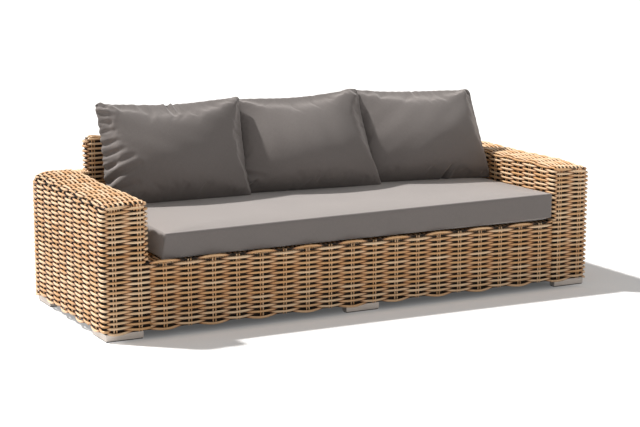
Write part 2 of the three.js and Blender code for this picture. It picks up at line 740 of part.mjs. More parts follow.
addBaseFrame();
addArmFrame('left', -1);
addArmFrame('right', 1);
addBackFrame();
addSeatFrame();
addArmWeave('left', -1);
addArmWeave('right', 1);
addApronWeave();
addDeckWeave();
addBackWeave();
addFeet();
addSeatCushion();
addBackCushions();

export default sofa;
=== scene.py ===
"""Looks of the rattan garden sofa: woven skins, sewn cushions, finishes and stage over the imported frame.

Metres, +X to the sitter's left, -Y to the front, +Z up, with the origin on the floor under the middle.
"""
import functools
import math

import bpy
import numpy as np
from bpy.props import FloatProperty, FloatVectorProperty, IntProperty, PointerProperty
from mathutils import Euler, Matrix, Vector


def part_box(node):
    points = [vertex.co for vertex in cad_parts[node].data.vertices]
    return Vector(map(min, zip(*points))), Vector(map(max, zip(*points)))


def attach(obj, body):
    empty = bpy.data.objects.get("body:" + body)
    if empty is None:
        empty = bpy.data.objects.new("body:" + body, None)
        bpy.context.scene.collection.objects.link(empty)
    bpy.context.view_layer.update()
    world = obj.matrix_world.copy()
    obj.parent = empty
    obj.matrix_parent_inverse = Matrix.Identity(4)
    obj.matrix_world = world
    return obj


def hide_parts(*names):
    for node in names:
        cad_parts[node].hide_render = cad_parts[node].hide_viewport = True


bl_info = {
    "name": "Rattan garden sofa",
    "version": (1, 0, 0),
    "blender": (4, 5, 0),
    "location": "3D View > Sidebar > Sofa",
    "description": "Weaves the skins, sews the cushions and lights the rattan garden sofa",
    "category": "Object",
}

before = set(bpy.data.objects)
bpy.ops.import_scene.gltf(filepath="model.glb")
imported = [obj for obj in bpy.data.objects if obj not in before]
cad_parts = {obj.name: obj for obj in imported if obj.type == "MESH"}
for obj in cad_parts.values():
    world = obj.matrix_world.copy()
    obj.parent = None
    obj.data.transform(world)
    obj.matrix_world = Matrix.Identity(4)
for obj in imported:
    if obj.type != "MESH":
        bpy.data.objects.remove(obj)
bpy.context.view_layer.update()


def box(node):
    """The low and the high corner of a node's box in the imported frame."""
    return [np.array(corner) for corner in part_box(node)]


QUARTER = math.pi / 2
X_WAY, Y_WAY, Z_WAY = np.eye(3)
MIRROR = np.array([-1.0, 1, 1])

# Just under one: what a share must not reach, or from where it counts as one
NEARLY_ALL = 0.999

# What touching solids keep apart, how far the deck reaches under the back panel, and how far inside the arms'
# inner faces the back panel's ends lie
TOUCH_GAP = 0.0003
DECK_TUCK = 0.02
SHOULDER = 0.026

# Faces of the woven body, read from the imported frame
ARM_LOW, ARM_HIGH = box("left_arm_weave")
BACK_HIGH = box("back_weave")[1]
DECK_HIGH = box("seat_deck_weave")[1]
SIDE_X = -ARM_LOW[0]
INNER_X = -ARM_HIGH[0]
REAR_Y = BACK_HIGH[1]
FRONT_Y = -REAR_Y
WEAVE_FOOT = ARM_LOW[2]
ARM_TOP = ARM_HIGH[2]
BACK_TOP = BACK_HIGH[2]
DECK_TOP = DECK_HIGH[2]
BACK_FRONT_Y = DECK_HIGH[1] - DECK_TUCK + TOUCH_GAP
BACK_END_X = INNER_X - SHOULDER


# Settings

def number(name, description, default, low, high, **more):
    """A setting with limits."""
    return FloatProperty(name=name, description=description, default=default, min=low, max=high, **more)


def length(name, description, default, low, high, **more):
    """A setting in metres."""
    return number(name, description, default, low, high, unit="LENGTH", **more)


def angle(name, description, degrees):
    """A setting for an angle."""
    return FloatProperty(name=name, description=description, default=math.radians(degrees), subtype="ANGLE")


def colour(name, description, default):
    """A setting for a colour."""
    return FloatVectorProperty(name=name, description=description, default=default, min=0, max=1, size=3,
                               subtype="COLOR")


class SofaWeave(bpy.types.PropertyGroup):
    strand: length("Strand thickness", "Thickness of the woven strands", 0.0092, 0.004, 0.012)
    oval: number("Strand height", "Height of a strand against its thickness", 1.16, 1, 1.5)
    pitch: length("Row pitch", "Height of one woven row", 0.01, 0.006, 0.02)
    swing: length("Swing", "How far a strand swings out and in from the skin's middle", 0.0062, 0.002, 0.01)
    depth: length("Skin middle", "How far the skin's middle lies inside the outer face", 0.0094, 0.004, 0.014)
    stick: length("Stake thickness", "Thickness of the thin upright sticks", 0.0054, 0.003, 0.008)
    pair: length("Stake pair", "Distance between the two sticks of a stake", 0.0112, 0.006, 0.02)
    pale: colour("Pale cane", "Colour of the palest strands", (0.94, 0.70, 0.455))
    honey: colour("Honey cane", "Colour of the darker strands", (0.75, 0.43, 0.185))
    shade: colour("Inner shade", "Colour of the strands deep in the weave", (0.014, 0.007, 0.003))


class SofaCushions(bpy.types.PropertyGroup):
    cloth: colour("Cloth", "Colour of the woven cover cloth", (0.24, 0.217, 0.208))
    thread: length("Thread pitch", "Distance between the cloth's threads", 0.0016, 0.0005, 0.005, precision=4)
    pressure: number("Pressure", "How hard the filling pushes the covers out", 4.0, 0, 20)
    frames: IntProperty(name="Steps", description="Steps of the cloth simulation", default=20, min=1, max=60)
    cap: length("Movement cap", "The furthest that the simulation may move a cover's point", 0.024, 0, 0.05)


class SofaFinishes(bpy.types.PropertyGroup):
    steel: colour("Foot metal", "Colour of the brushed metal feet", (0.58, 0.53, 0.49))
    coating: colour("Frame coating", "Colour of the powder coating on the frame tubes", (0.045, 0.032, 0.024))
    plastic: colour("Glide plastic", "Colour of the glides under the feet", (0.02, 0.019, 0.018))
    zip: colour("Zips", "Colour of the zips", (0.11, 0.10, 0.095))


class SofaStage(bpy.types.PropertyGroup):
    lens: number("Lens", "Focal length of the camera", 90.93, 10, 300, unit="CAMERA")
    yaw: angle("Yaw", "Camera's turn from the front towards the right", 27.95)
    pitch: angle("Pitch", "Camera's tilt below the horizon", 10.14)
    sun: number("Key light", "Strength of the key light", 4.0, 0, 20)
    softness: angle("Key softness", "Angle that the key light covers", 3)
    fill: number("Fill light", "Strength of the even light from all round", 0.325, 0, 5)
    floor: number("Floor", "How much light the floor gives back", 0.84, 0, 1)
    lift: number("Floor lift", "Brightness added to the seen floor round the sofa", 0.175, 0, 1)


# Strands

SIDES_OF_STRAND = 6
STRAND_CAPS = np.array([[0, 1, 2, 3], [0, 3, 4, 5]])
UNEVEN_STRANDS = 0.035
GRAIN_LENGTH = 40


def vectors(x, y, z):
    """X, Y and Z parts, each a value or an array, as one array of vectors."""
    return np.stack(np.broadcast_arrays(x, y, z), axis=-1)


def smooth_step(value, low, high):
    """0 below low and 1 above high, with the cubic 3t^2 - 2t^3 between."""
    share = np.clip((value - low) / (high - low), 0, 1)
    return share * share * (3 - 2 * share)


def rounded_walk(corners, radius, step):
    """Points, outward normals and distances along straight lines joined by arcs.

    Each inner corner is cut back by the radius on both lines and joined by a quarter circle about the point
    that lies the radius from both. The outward normal is the walking direction turned a quarter to the right.
    """
    corners = np.asarray(corners, float)
    legs = np.diff(corners, axis=0)
    reach = np.linalg.norm(legs, axis=1)
    ahead = legs / reach[:, None]
    cut_back = np.full(len(corners), float(radius))
    cut_back[[0, -1]] = 0
    points, headings = [], []
    for k in range(len(legs)):
        run = reach[k] - cut_back[k] - cut_back[k + 1]
        count = max(2, int(round(run / step)) + 1)
        share = cut_back[k] + np.linspace(0, run, count)
        points.append(corners[k] + share[:, None] * ahead[k])
        headings.append(np.repeat(ahead[k:k + 1], count, axis=0))
        if k + 1 < len(legs):
            arc = max(3, int(round(radius * QUARTER / step)) + 1)
            turn = np.linspace(0, QUARTER, arc + 2)[1:-1, None]
            centre = corners[k + 1] + cut_back[k + 1] * (ahead[k + 1] - ahead[k])
            points.append(centre + radius * (np.sin(turn) * ahead[k] - np.cos(turn) * ahead[k + 1]))
            headings.append(np.cos(turn) * ahead[k] + np.sin(turn) * ahead[k + 1])
    points, headings = np.concatenate(points), np.concatenate(headings)
    outward = np.stack([headings[:, 1], -headings[:, 0]], axis=1)
    travelled = np.concatenate([[0], np.cumsum(np.linalg.norm(np.diff(points, axis=0), axis=1))])
    return points, outward, travelled


def stake_phase(walk, stakes, first):
    """The stake count at each point of a walk, from the first stake's number: linear in the distance between
    the stakes' nearest points, and carried on past the end stakes."""
    points, _, travelled = walk
    away = np.linalg.norm(points[None] - np.asarray(stakes, float)[:, None], axis=2)
    where = travelled[away.argmin(axis=1)]
    gap = np.diff(where)
    beyond = 3
    where = np.concatenate([[where[0] - gap[0] * beyond], where, [where[-1] + gap[-1] * beyond]])
    numbers = first + np.arange(len(stakes))
    numbers = np.concatenate([[first - beyond], numbers, [numbers[-1] + beyond]])
    return np.interp(travelled, where, numbers)


class Bundle:
    """Strands with the same number of points, as arrays: lines (strand, point, 3), outward directions of the
    skin there, the depth of each point below the skin's outer face, which sets its painted shade, and each
    strand's thickness."""

    def __init__(self, lines, outward, depth, thickness, across, seed, glow=0.0, oval=1.0):
        self.lines = lines
        self.outward = np.broadcast_to(outward, lines.shape)
        self.depth = np.broadcast_to(depth, lines.shape[:2])
        draw = np.random.default_rng(seed)
        self.tone = draw.random(len(lines))
        unlike = draw.standard_normal(len(lines)).clip(-1.6, 1.6)
        self.radius = thickness / 2 * (1 + UNEVEN_STRANDS * unlike)
        self.start = draw.random(len(lines)) * GRAIN_LENGTH
        self.across = across
        # How much less of the painted shade these strands take
        self.glow = glow
        self.oval = oval

    def mirrored(self):
        """The same strands on the other side of the plane X = 0."""
        self.lines = self.lines * MIRROR
        self.outward = self.outward * MIRROR
        return self


def strand_surface(bundle):
    """A six-sided tube round every line of a bundle, with closed ends: its points, faces and values.

    Each ring lies in the plane across its line, spanned by the line's direction crossed with a fixed vector,
    and by the cross product of that with the line's direction. A ring point's painted shade is set by its
    depth below the skin's outer face: the line's depth less the part of the ring's radius that points
    outward.
    """
    lines, count = bundle.lines, bundle.lines.shape[1]
    ahead = np.gradient(lines, axis=1)
    ahead /= np.linalg.norm(ahead, axis=2, keepdims=True)
    side = np.cross(ahead, bundle.across)
    side /= np.linalg.norm(side, axis=2, keepdims=True)
    rise = np.cross(side, ahead)
    turn = np.arange(SIDES_OF_STRAND) * 2 * math.pi / SIDES_OF_STRAND
    spoke = np.cos(turn)[:, None] * side[:, :, None] + bundle.oval * np.sin(turn)[:, None] * rise[:, :, None]
    radius = bundle.radius[:, None, None]
    points = lines[:, :, None] + radius[..., None] * spoke
    depth = bundle.depth[:, :, None] - radius * (spoke * bundle.outward[:, :, None]).sum(3)
    along = np.cumsum(np.linalg.norm(np.diff(lines, axis=1), axis=2), axis=1)
    along = np.concatenate([np.zeros((len(lines), 1)), along], axis=1) + bundle.start[:, None]
    grain = vectors(along[:, :, None], np.cos(turn), np.sin(turn))
    tone = np.broadcast_to(bundle.tone[:, None, None], depth.shape)
    first = np.arange(len(lines))[:, None, None] * count * SIDES_OF_STRAND
    ring = first + np.arange(count - 1)[None, :, None] * SIDES_OF_STRAND
    following = ring + SIDES_OF_STRAND
    here = np.arange(SIDES_OF_STRAND)[None, None]
    beside = (here + 1) % SIDES_OF_STRAND
    walls = np.stack([ring + here, following + here, following + beside, ring + beside], 3).reshape(-1, 4)
    start_caps = (first[:, :, 0, None] + STRAND_CAPS).reshape(-1, 4)
    end_caps = (first[:, :, 0, None] + (count - 1) * SIDES_OF_STRAND + STRAND_CAPS[:, ::-1]).reshape(-1, 4)
    values = {"depth": depth.ravel(), "tone": tone.ravel(), "glow": np.full(depth.size, bundle.glow),
              "grain": grain.reshape(-1, 3)}
    return points.reshape(-1, 3), np.concatenate([walls, start_caps, end_caps]), values


def make_mesh(name, points, faces):
    """A mesh object at the origin from point and face arrays, shaded smooth."""
    mesh = bpy.data.meshes.new(name)
    mesh.from_pydata(points.astype(np.float32), [], faces.astype(np.int32))
    mesh.shade_smooth()
    mesh.update()
    piece = bpy.data.objects.new(name, mesh)
    bpy.context.scene.collection.objects.link(piece)
    return piece


def put_values(mesh, name, values):
    """Stores one value or vector per point of the mesh under a name that the materials read."""
    kind, field = ("FLOAT", "value") if values.ndim == 1 else ("FLOAT_VECTOR", "vector")
    layer = mesh.attributes.new(name, kind, "POINT")
    layer.data.foreach_set(field, values.astype(np.float32).ravel())


def declare(piece, material, body, slot, *nodes):
    """Gives a piece its material, the body that carries it and the nodes that it stands for. The slot is not
    used.
    """
    piece.data.materials.append(material)
    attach(piece, body)
    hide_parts(*nodes)


# Shade sheets: painted shade, dark sheets inside the skins that keep light from passing through

SHADE_SHEET_INSET = 0.0195
SHADE_SHEET_STEP = 0.1
SHADE_SHEET_FOOT = WEAVE_FOOT + 0.003
SHADE_SHEET_DROP = {"arm": 0.04, "apron": 0.022, "back": 0.025}


def shade_sheet_values(count):
    """What a shade sheet's points hold: a depth that gives it the painted shade's colour, and no tone, easing
    of that shade or grain.
    """
    zeros = np.zeros(count)
    return {"depth": zeros + SHADE_SHEET_INSET, "tone": zeros, "glow": zeros, "grain": np.zeros((count, 3))}


def shade_sheet(corners, radius, low, high):
    """A sheet of painted shade along a rounded walk between two heights, whose points lie one inset inside
    the walk's.
    """
    points, outward, _ = rounded_walk(corners, radius, SHADE_SHEET_STEP)
    plan = points - outward * SHADE_SHEET_INSET
    levels = np.linspace(low, high, 3)
    grid = np.concatenate([np.column_stack([plan, np.full(len(plan), level)]) for level in levels])
    count = len(plan)
    first = (np.arange(len(levels) - 1)[:, None] * count + np.arange(count - 1)[None]).ravel()
    faces = np.stack([first, first + 1, first + 1 + count, first + count], axis=1)
    return grid, faces, shade_sheet_values(len(grid))


def deck_shade_sheet():
    """The shade sheet under the deck: a level sheet of painted shade one inset below its top, a little inside
    its four sides.
    """
    x, front, rear = INNER_X - SHADE_SHEET_INSET, FRONT_Y + SHADE_SHEET_INSET, BACK_FRONT_Y + SHADE_SHEET_INSET
    level = DECK_TOP - SHADE_SHEET_INSET
    grid = np.array([[-x, front, level], [x, front, level], [x, rear, level], [-x, rear, level]])
    return grid, np.array([[0, 1, 2, 3]]), shade_sheet_values(4)


def woven_piece(name, node, bundles, shade_sheets):
    """Joins the tubes of all bundles and the sheets of painted shade into one piece that stands for a woven
    node.
    """
    parts = [strand_surface(bundle) for bundle in bundles] + shade_sheets
    starts = np.cumsum([0] + [len(points) for points, _, _ in parts[:-1]])
    faces = np.concatenate([part[1] + start for part, start in zip(parts, starts)])
    piece = make_mesh(name, np.concatenate([part[0] for part in parts]), faces)
    for key in ("depth", "tone", "glow", "grain"):
        put_values(piece.data, key, np.concatenate([part[2][key] for part in parts]))
    declare(piece, cane_material(), "sofa_frame", "weave", node)


# Places of stakes and rows

STAKE_STEP = {"front": 0.1046, "side": 0.0906, "deck": 0.0875}
FRONT_STAKES = 22
SIDE_STAKES = 10
DECK_STAKES = 9
REAR_STAKE_Y = 0.41
STAKE_FOOT = WEAVE_FOOT + 0.002
FIRST_ROW = WEAVE_FOOT + 0.0055
ROW_LIMIT = 200

# Where the rows that run into the deck end
DECK_ROWS = DECK_TOP - 0.002

# How far a row wanders up and down, by how many radians in a metre, and how much it differs from the next
SWAY = 0.0009
SWAY_TURNS = 11
SWAY_SHIFT = 0.4

# How much more painted shade the rows on an arm's outer side take, as if they lay deeper
OUTER_SHADE = 0.0018

# How far the lowest rows hang and rise as they twist, and over how many rows that fades
BOTTOM_TWIST = 0.0052
BOTTOM_FADE = 1.6

# The number of the first stake that each walk passes, how far short of a face strands end, and how far they
# run on behind the back panel's front
FIRST_STAKE = {"arm": -2, "apron": 12, "back": 21, "rings": 11, "rear": 44}
END_GAP = 0.004
RUN_ON = 0.012

# How many points the lines of each kind have
POINTS = {"post": 12, "arm post": 14, "rear post": 20, "hoop": (14, 24, 8), "rod": 40, "shoulder": 15,
          "arm row": 66, "arm bend": 7, "deck row": 42, "deck bend": 6, "back row": 128, "back bend": 8}


def front_stakes():
    """X of the stake pairs along the front and the rear, evenly spaced about the middle."""
    return (np.arange(FRONT_STAKES) - (FRONT_STAKES - 1) / 2) * STAKE_STEP["front"]


def inner_stakes():
    """X of those of them that stand between the arms."""
    return front_stakes()[2:-2]


def side_stakes():
    """Y of the stake pairs along an arm, from rear to front."""
    return REAR_STAKE_Y - np.arange(SIDE_STAKES) * STAKE_STEP["side"]


def row_ladder(low, high, pitch):
    """Heights and numbers of the rows between two heights, counted from just above the weave's foot."""
    numbers = np.arange(ROW_LIMIT)
    heights = FIRST_ROW + pitch * numbers
    kept = (heights >= low) & (heights < high)
    return heights[kept], numbers[kept]


def rounding(height, top, radius):
    """How far a rounded edge has drawn in at a height: the radius less the circle's half chord there."""
    above = np.clip(height - (top - radius), 0, radius * NEARLY_ALL)
    return radius - np.sqrt(radius * radius - above * above)


def woven_rows(walk, phase, rows, weave, seed, drawn_in=0, lift=None):
    """Rows along a walk. A row's distance from the skin's middle is the swing times the cosine of pi times
    the stake count plus the row's number, so that it passes in front of every other stake. Rows that face
    outward from an arm take more painted shade, as if they lay deeper."""
    points, outward, travelled = walk
    heights, numbers = (values[:, None] for values in rows)
    wave = np.cos(math.pi * (phase + numbers))
    depth = weave.depth - weave.swing * wave
    plan = points - outward * (depth + drawn_in)[:, :, None]
    up = heights + SWAY * np.sin(travelled * SWAY_TURNS + SWAY_SHIFT * numbers + seed)
    if lift:
        up = up + lift(numbers, wave)
    lines = np.concatenate([plan, up[:, :, None]], axis=2)
    facing = np.column_stack([outward, 0 * travelled])
    # Painted shade: deeper on rows that face towards -X, such as an arm's outer side
    shade = depth + OUTER_SHADE * np.clip(-outward[:, 0], 0, 1)
    return Bundle(lines, facing, shade, weave.strand, Z_WAY, seed, oval=weave.oval)


def sticks(paths, facing, depth, weave, seed, along):
    """The two thin sticks of each stake: its path moved half the pair's distance each way."""
    shift = along * weave.pair / 2
    lines = np.concatenate([paths - shift, paths + shift])
    facing = np.concatenate([np.broadcast_to(facing, paths.shape)] * 2)
    # The stakes take less of the painted shade than the rows
    return Bundle(lines, facing, depth, weave.stick, along, seed, glow=1.0)


def upright_pairs(xs, y, low, high, outward_y, weave, seed, count=POINTS["post"]):
    """Straight stake pairs at the given X places in a wall that faces along Y."""
    posts = vectors(xs[:, None], y, np.linspace(low, high, count))
    return sticks(posts, outward_y * Y_WAY, weave.depth, weave, seed, X_WAY)


def bottom_wave(numbers, wave):
    """The lowest rows twist round each other: the one in front hangs lower, less so in each row above."""
    return -BOTTOM_TWIST * wave * np.exp(-numbers / BOTTOM_FADE)


# Arms

SIDE_ROUND = 0.045
FRONT_ROUND = 0.015
INNER_ROUND = 0.03
REAR_ROUND = 0.04
PLAN_ROUND = 0.026
OUTER_ARC = SIDE_ROUND * QUARTER
ARM_FLAT = SIDE_X - INNER_X - SIDE_ROUND - INNER_ROUND
ARM_CORNERS = [(-INNER_X, REAR_Y), (-SIDE_X, REAR_Y), (-SIDE_X, FRONT_Y), (-INNER_X, FRONT_Y)]
ARM_STEP = 0.0125

# How far below the arm's top its front edge starts to round, and up to where its rows run round it
FRONT_DROP = 0.006
RING_TOP = 0.5375

# How far the rows along the arm's top bend down over its front, then run on behind the rings, and bend down
# over its rear, and how far inside the skin's middle their ends lie
TOP_BEND = 0.016
TOP_TAIL = 0.02
REAR_BEND = REAR_ROUND * 0.6
END_INSET = 0.0045

# How high the stakes of the arm's front and rear reach
ARM_POST_TOP = ARM_TOP - 0.012

# How far the arm's top hangs at its front, more at its outer corner, and rises at its rear, and over which
# distances to the front, to the rear, inwards and upwards this grows
ARM_HANG = 0.004
CORNER_HANG = 0.008
ARM_RISE = 0.013
HANG_RUN = (0.22, 0.42)
RISE_RUN = (0.0, 0.36)
RISE_WIDTH = 0.08
DROOP_FROM = 0.40


def face_shares(outward):
    """Shares of the outer side, the front, the inner side and the rear in a wall's direction: its squares."""
    x, y = outward.T
    return [np.clip(part, 0, 1) ** 2 for part in (-x, -y, x, y)]


def arm_ring_stakes():
    """Plan places of the stakes that the rings pass, from the rear's inner edge to the front's inner edge."""
    xs = front_stakes()[:2]
    rear, front = [(x, REAR_Y) for x in xs[::-1]], [(x, FRONT_Y) for x in xs]
    return rear + [(-SIDE_X, y) for y in side_stakes()] + front


def arm_lower_rows(weave, seed, further):
    """Rows below the deck: from the rear's inner edge round the outer side to the front's inner edge. The
    stakes are counted further on by the given number."""
    walk = rounded_walk(ARM_CORNERS, PLAN_ROUND, ARM_STEP)
    phase = stake_phase(walk, arm_ring_stakes(), FIRST_STAKE["arm"]) + further
    return woven_rows(walk, phase, row_ladder(0, DECK_ROWS, weave.pitch), weave, seed, lift=bottom_wave)


def arm_upper_rows(weave, seed, further):
    """Rows above the deck: as below it, and on along the inner side to the back panel. Towards the top they
    draw in with the rounded edges, widely at the sides and narrowly at the front."""
    walk = rounded_walk(ARM_CORNERS + [(-INNER_X, BACK_FRONT_Y + RUN_ON)], PLAN_ROUND, ARM_STEP)
    stakes = arm_ring_stakes() + [(-INNER_X, y) for y in side_stakes()[:0:-1]]
    phase = stake_phase(walk, stakes, FIRST_STAKE["arm"]) + further
    rows = row_ladder(DECK_ROWS, RING_TOP, weave.pitch)
    edges = ((ARM_TOP, SIDE_ROUND), (ARM_TOP - FRONT_DROP, FRONT_ROUND), (ARM_TOP, INNER_ROUND),
             (ARM_TOP, REAR_ROUND))
    drawn_in = sum(rounding(rows[0][:, None], top, radius) * share
                   for (top, radius), share in zip(edges, face_shares(walk[1])))
    return woven_rows(walk, phase, rows, weave, seed, drawn_in)


def arm_profile(distance):
    """The arm's upper outline in X and Z, from the outer side over the top to the inner side, by the distance
    walked from where the outer edge starts to round: an arc, a straight, and a smaller arc."""
    first = np.clip(distance / SIDE_ROUND, 0, QUARTER)
    past = np.clip((distance - OUTER_ARC - ARM_FLAT) / INNER_ROUND, 0, None)
    last = np.clip(past, 0, QUARTER)
    down = np.clip(distance, None, 0)
    fall = np.clip(past - QUARTER, 0, None) * INNER_ROUND
    level = np.clip(distance - OUTER_ARC, 0, ARM_FLAT)
    x = -SIDE_X + SIDE_ROUND * (1 - np.cos(first)) + level + INNER_ROUND * np.sin(last)
    z = ARM_TOP - SIDE_ROUND * (1 - np.sin(first)) - INNER_ROUND * (1 - np.cos(last)) + down - fall
    nx = -np.cos(first) + np.sin(last)
    nz = np.sin(first) * np.cos(last)
    size = np.hypot(nx, nz)
    return x, z, nx / size, nz / size


def arm_top_rows(weave, seed, further):
    """Rows along the arm's top: each follows a point of the arm's upper outline from the front to the rear,
    and bends down over both edges, where it is drawn in along the outline's own normal like a quarter circle.
    The first and the last lie one row's height along the outline from where the highest ring meets it.
    """
    ring, ring_number = (values[-1] for values in row_ladder(0, RING_TOP, weave.pitch))
    start = SIDE_ROUND * math.asin(1 - (ARM_TOP - ring) / SIDE_ROUND) + weave.pitch
    end = OUTER_ARC + ARM_FLAT + INNER_ROUND * math.acos(1 - (ARM_TOP - ring) / INNER_ROUND) - weave.pitch
    count = int(round((end - start) / weave.pitch)) + 1
    x, z, nx, nz = arm_profile(np.linspace(start, end, count)[:, None])
    front, rear = FRONT_Y + weave.depth + END_INSET, REAR_Y - weave.depth - END_INSET
    straight = np.linspace(front + TOP_BEND, rear - REAR_BEND, POINTS["arm row"])
    bend = np.linspace(0, QUARTER, POINTS["arm bend"])[1:]
    up = bend[::-1]
    y = np.concatenate([[front, front], front + TOP_BEND * (1 - np.sin(up)), straight,
                        rear - REAR_BEND * (1 - np.sin(bend)), [rear]])
    drawn = np.concatenate([[TOP_BEND + TOP_TAIL, TOP_BEND + TOP_TAIL / 2], TOP_BEND * (1 - np.cos(up)),
                            0 * straight, REAR_BEND * (1 - np.cos(bend)), [REAR_BEND + TOP_TAIL]])
    turn = np.concatenate([[-QUARTER] * 2, -up, 0 * straight, bend, [QUARTER]])
    calm = np.cos(turn)
    phase = np.minimum((REAR_STAKE_Y - y) / STAKE_STEP["side"], SIDE_STAKES - 1) + further
    numbers = ring_number + 1 + np.arange(count)[:, None]
    depth = weave.depth - weave.swing * np.cos(math.pi * (phase + numbers)) * calm
    facing = vectors(nx * calm, np.sin(turn), nz * calm)
    inward = drawn + depth * calm
    lines = vectors(x - nx * inward, y, z - nz * inward)
    return Bundle(lines, facing, depth, weave.strand, X_WAY, seed)


def arm_stakes(weave, seed):
    """Stakes of an arm: hoops from the foot up the outer side, over the top and down the inner side, and
    straight pairs in the front and the rear."""
    total = OUTER_ARC + ARM_FLAT + INNER_ROUND * QUARTER
    rise = ARM_TOP - SIDE_ROUND - STAKE_FOOT
    fall = ARM_TOP - INNER_ROUND - DECK_TOP + END_GAP
    up, over, down = POINTS["hoop"]
    distance = np.concatenate([np.linspace(-rise, 0, up)[:-1], np.linspace(0, total, over),
                               total + np.linspace(0, fall, down)[1:]])
    x, z, nx, nz = arm_profile(distance)
    ys = side_stakes()[:-1, None]
    hoops = vectors(x - nx * weave.depth, ys, z - nz * weave.depth)
    bundles = [sticks(hoops, vectors(nx, 0, nz), weave.depth, weave, seed, Y_WAY)]
    for y, outward_y, further in ((FRONT_Y + weave.depth, -1, 1), (REAR_Y - weave.depth, 1, 2)):
        bundles.append(upright_pairs(front_stakes()[:2], y, STAKE_FOOT, ARM_POST_TOP, outward_y, weave,
                                     seed + further, POINTS["arm post"]))
    return bundles


def arm_droop(lines):
    """How far an arm's upper points hang at its front end, most at the outer corner, less how far they rise
    towards the back panel, each by smooth steps along and across the arm."""
    x, y, z = np.moveaxis(lines, 2, 0)
    hang = smooth_step(-y, *HANG_RUN) * (ARM_HANG + CORNER_HANG * smooth_step(-x, INNER_X, SIDE_X))
    rise = ARM_RISE * smooth_step(y, *RISE_RUN) * smooth_step(x, -SIDE_X, -SIDE_X + RISE_WIDTH)
    return smooth_step(z, DROOP_FROM, ARM_TOP) * (hang - rise)


def arm_bundles(weave, side, seed):
    """All strands of one arm. The right arm mirrors the left one, with its rows one stake further on."""
    further = int(side == "right")
    bundles = [make(weave, seed + number, further)
               for number, make in enumerate((arm_lower_rows, arm_upper_rows, arm_top_rows))]
    bundles += arm_stakes(weave, seed + len(bundles))
    for bundle in bundles:
        bundle.lines = bundle.lines - arm_droop(bundle.lines)[:, :, None] * Z_WAY
    return [bundle.mirrored() for bundle in bundles] if side == "right" else bundles


def arm_shade_sheets(side):
    """The sheets of painted shade behind an arm's outer walls and, above the deck, behind its inner side too.
    """
    around = ARM_CORNERS + [(-INNER_X, BACK_FRONT_Y)]
    sheets = [shade_sheet(ARM_CORNERS, PLAN_ROUND, SHADE_SHEET_FOOT, DECK_TOP),
              shade_sheet(around, PLAN_ROUND, DECK_TOP, ARM_TOP - SHADE_SHEET_DROP["arm"])]
    if side == "right":
        sheets = [(points * MIRROR, faces[:, ::-1], values) for points, faces, values in sheets]
    return sheets


class SOFA_OT_weave_arms(bpy.types.Operator):
    """Weave the two arms: rows round the sides and along the top, over stake pairs"""
    bl_idname = "sofa.weave_arms"
    bl_label = "Weave the arms"

    def execute(self, context):
        for side, seed in (("left", 10), ("right", 40)):
            bundles = arm_bundles(context.scene.sofa_weave, side, seed)
            woven_piece(f"{side}_arm_strands", f"{side}_arm_weave", bundles, arm_shade_sheets(side))
        return {"FINISHED"}


# Apron, deck and back

WALL_STEP = 0.0145
APRON_STEP = 0.0105
APRON_ARCH = 0.0082
BACK_ROUND = 0.03
RIM_TOP = BACK_TOP - 0.006

# How many rows run along the back panel's top, over which distance from its ends they swing up to their full,
# and after which stake the middle of its rear lies
BACK_TOP_ROWS = 4
BACK_CALM = 0.04
MIDDLE_STAKE = 8

# The shoulders' rows: where they start inside the back panel's ends, how far they rise above the arm, and how
# far their ends bend down
SHOULDER_REACH = 0.012
SHOULDER_RISE = 0.006
SHOULDER_FALL = 0.014

# The deck: its rows' pitch against the walls', how deep its middle lies, how far its rows swing, where they
# bend down behind the apron and by how much, how much less painted shade they take there, how far they run
# on below and swing up to their full, how far they keep from the arms, and where the first stake lies from
# the front
DECK_PITCH = 1.08
DECK_MIDDLE = 0.0101
DECK_SWING = 0.0052
DECK_EDGE = 0.0062
DECK_BEND = 0.009
DECK_SHADE_EASE = 0.006
DECK_TAIL = 0.02
DECK_CALM = 0.03
DECK_SIDE_GAP = 0.012
DECK_FIRST = 0.075


def wall_rows(ends, first, rows, weave, seed, step=WALL_STEP, lift=None):
    """Rows of a straight wall between the arms, whose stake pairs are counted from the first one's number."""
    walk = rounded_walk(ends, 0, step)
    xs = inner_stakes() if ends[0][0] < 0 else inner_stakes()[::-1]
    phase = stake_phase(walk, [(x, ends[0][1]) for x in xs], first)
    return woven_rows(walk, phase, rows, weave, seed, lift=lift)


def apron_bundles(weave, seed):
    """The front between the arms: straight rows, of which the highest arches over every other stake."""
    rows = row_ladder(0, DECK_ROWS, weave.pitch)
    last = rows[1][-1]

    def lift(numbers, wave):
        return bottom_wave(numbers, wave) + np.where(numbers == last, APRON_ARCH * (1 + wave) / 2, 0)

    ends, y = [(-INNER_X, FRONT_Y), (INNER_X, FRONT_Y)], FRONT_Y + weave.depth
    return [wall_rows(ends, FIRST_STAKE["apron"], rows, weave, seed, APRON_STEP, lift),
            upright_pairs(inner_stakes(), y, STAKE_FOOT, DECK_TOP - END_GAP, -1, weave, seed + 1)]


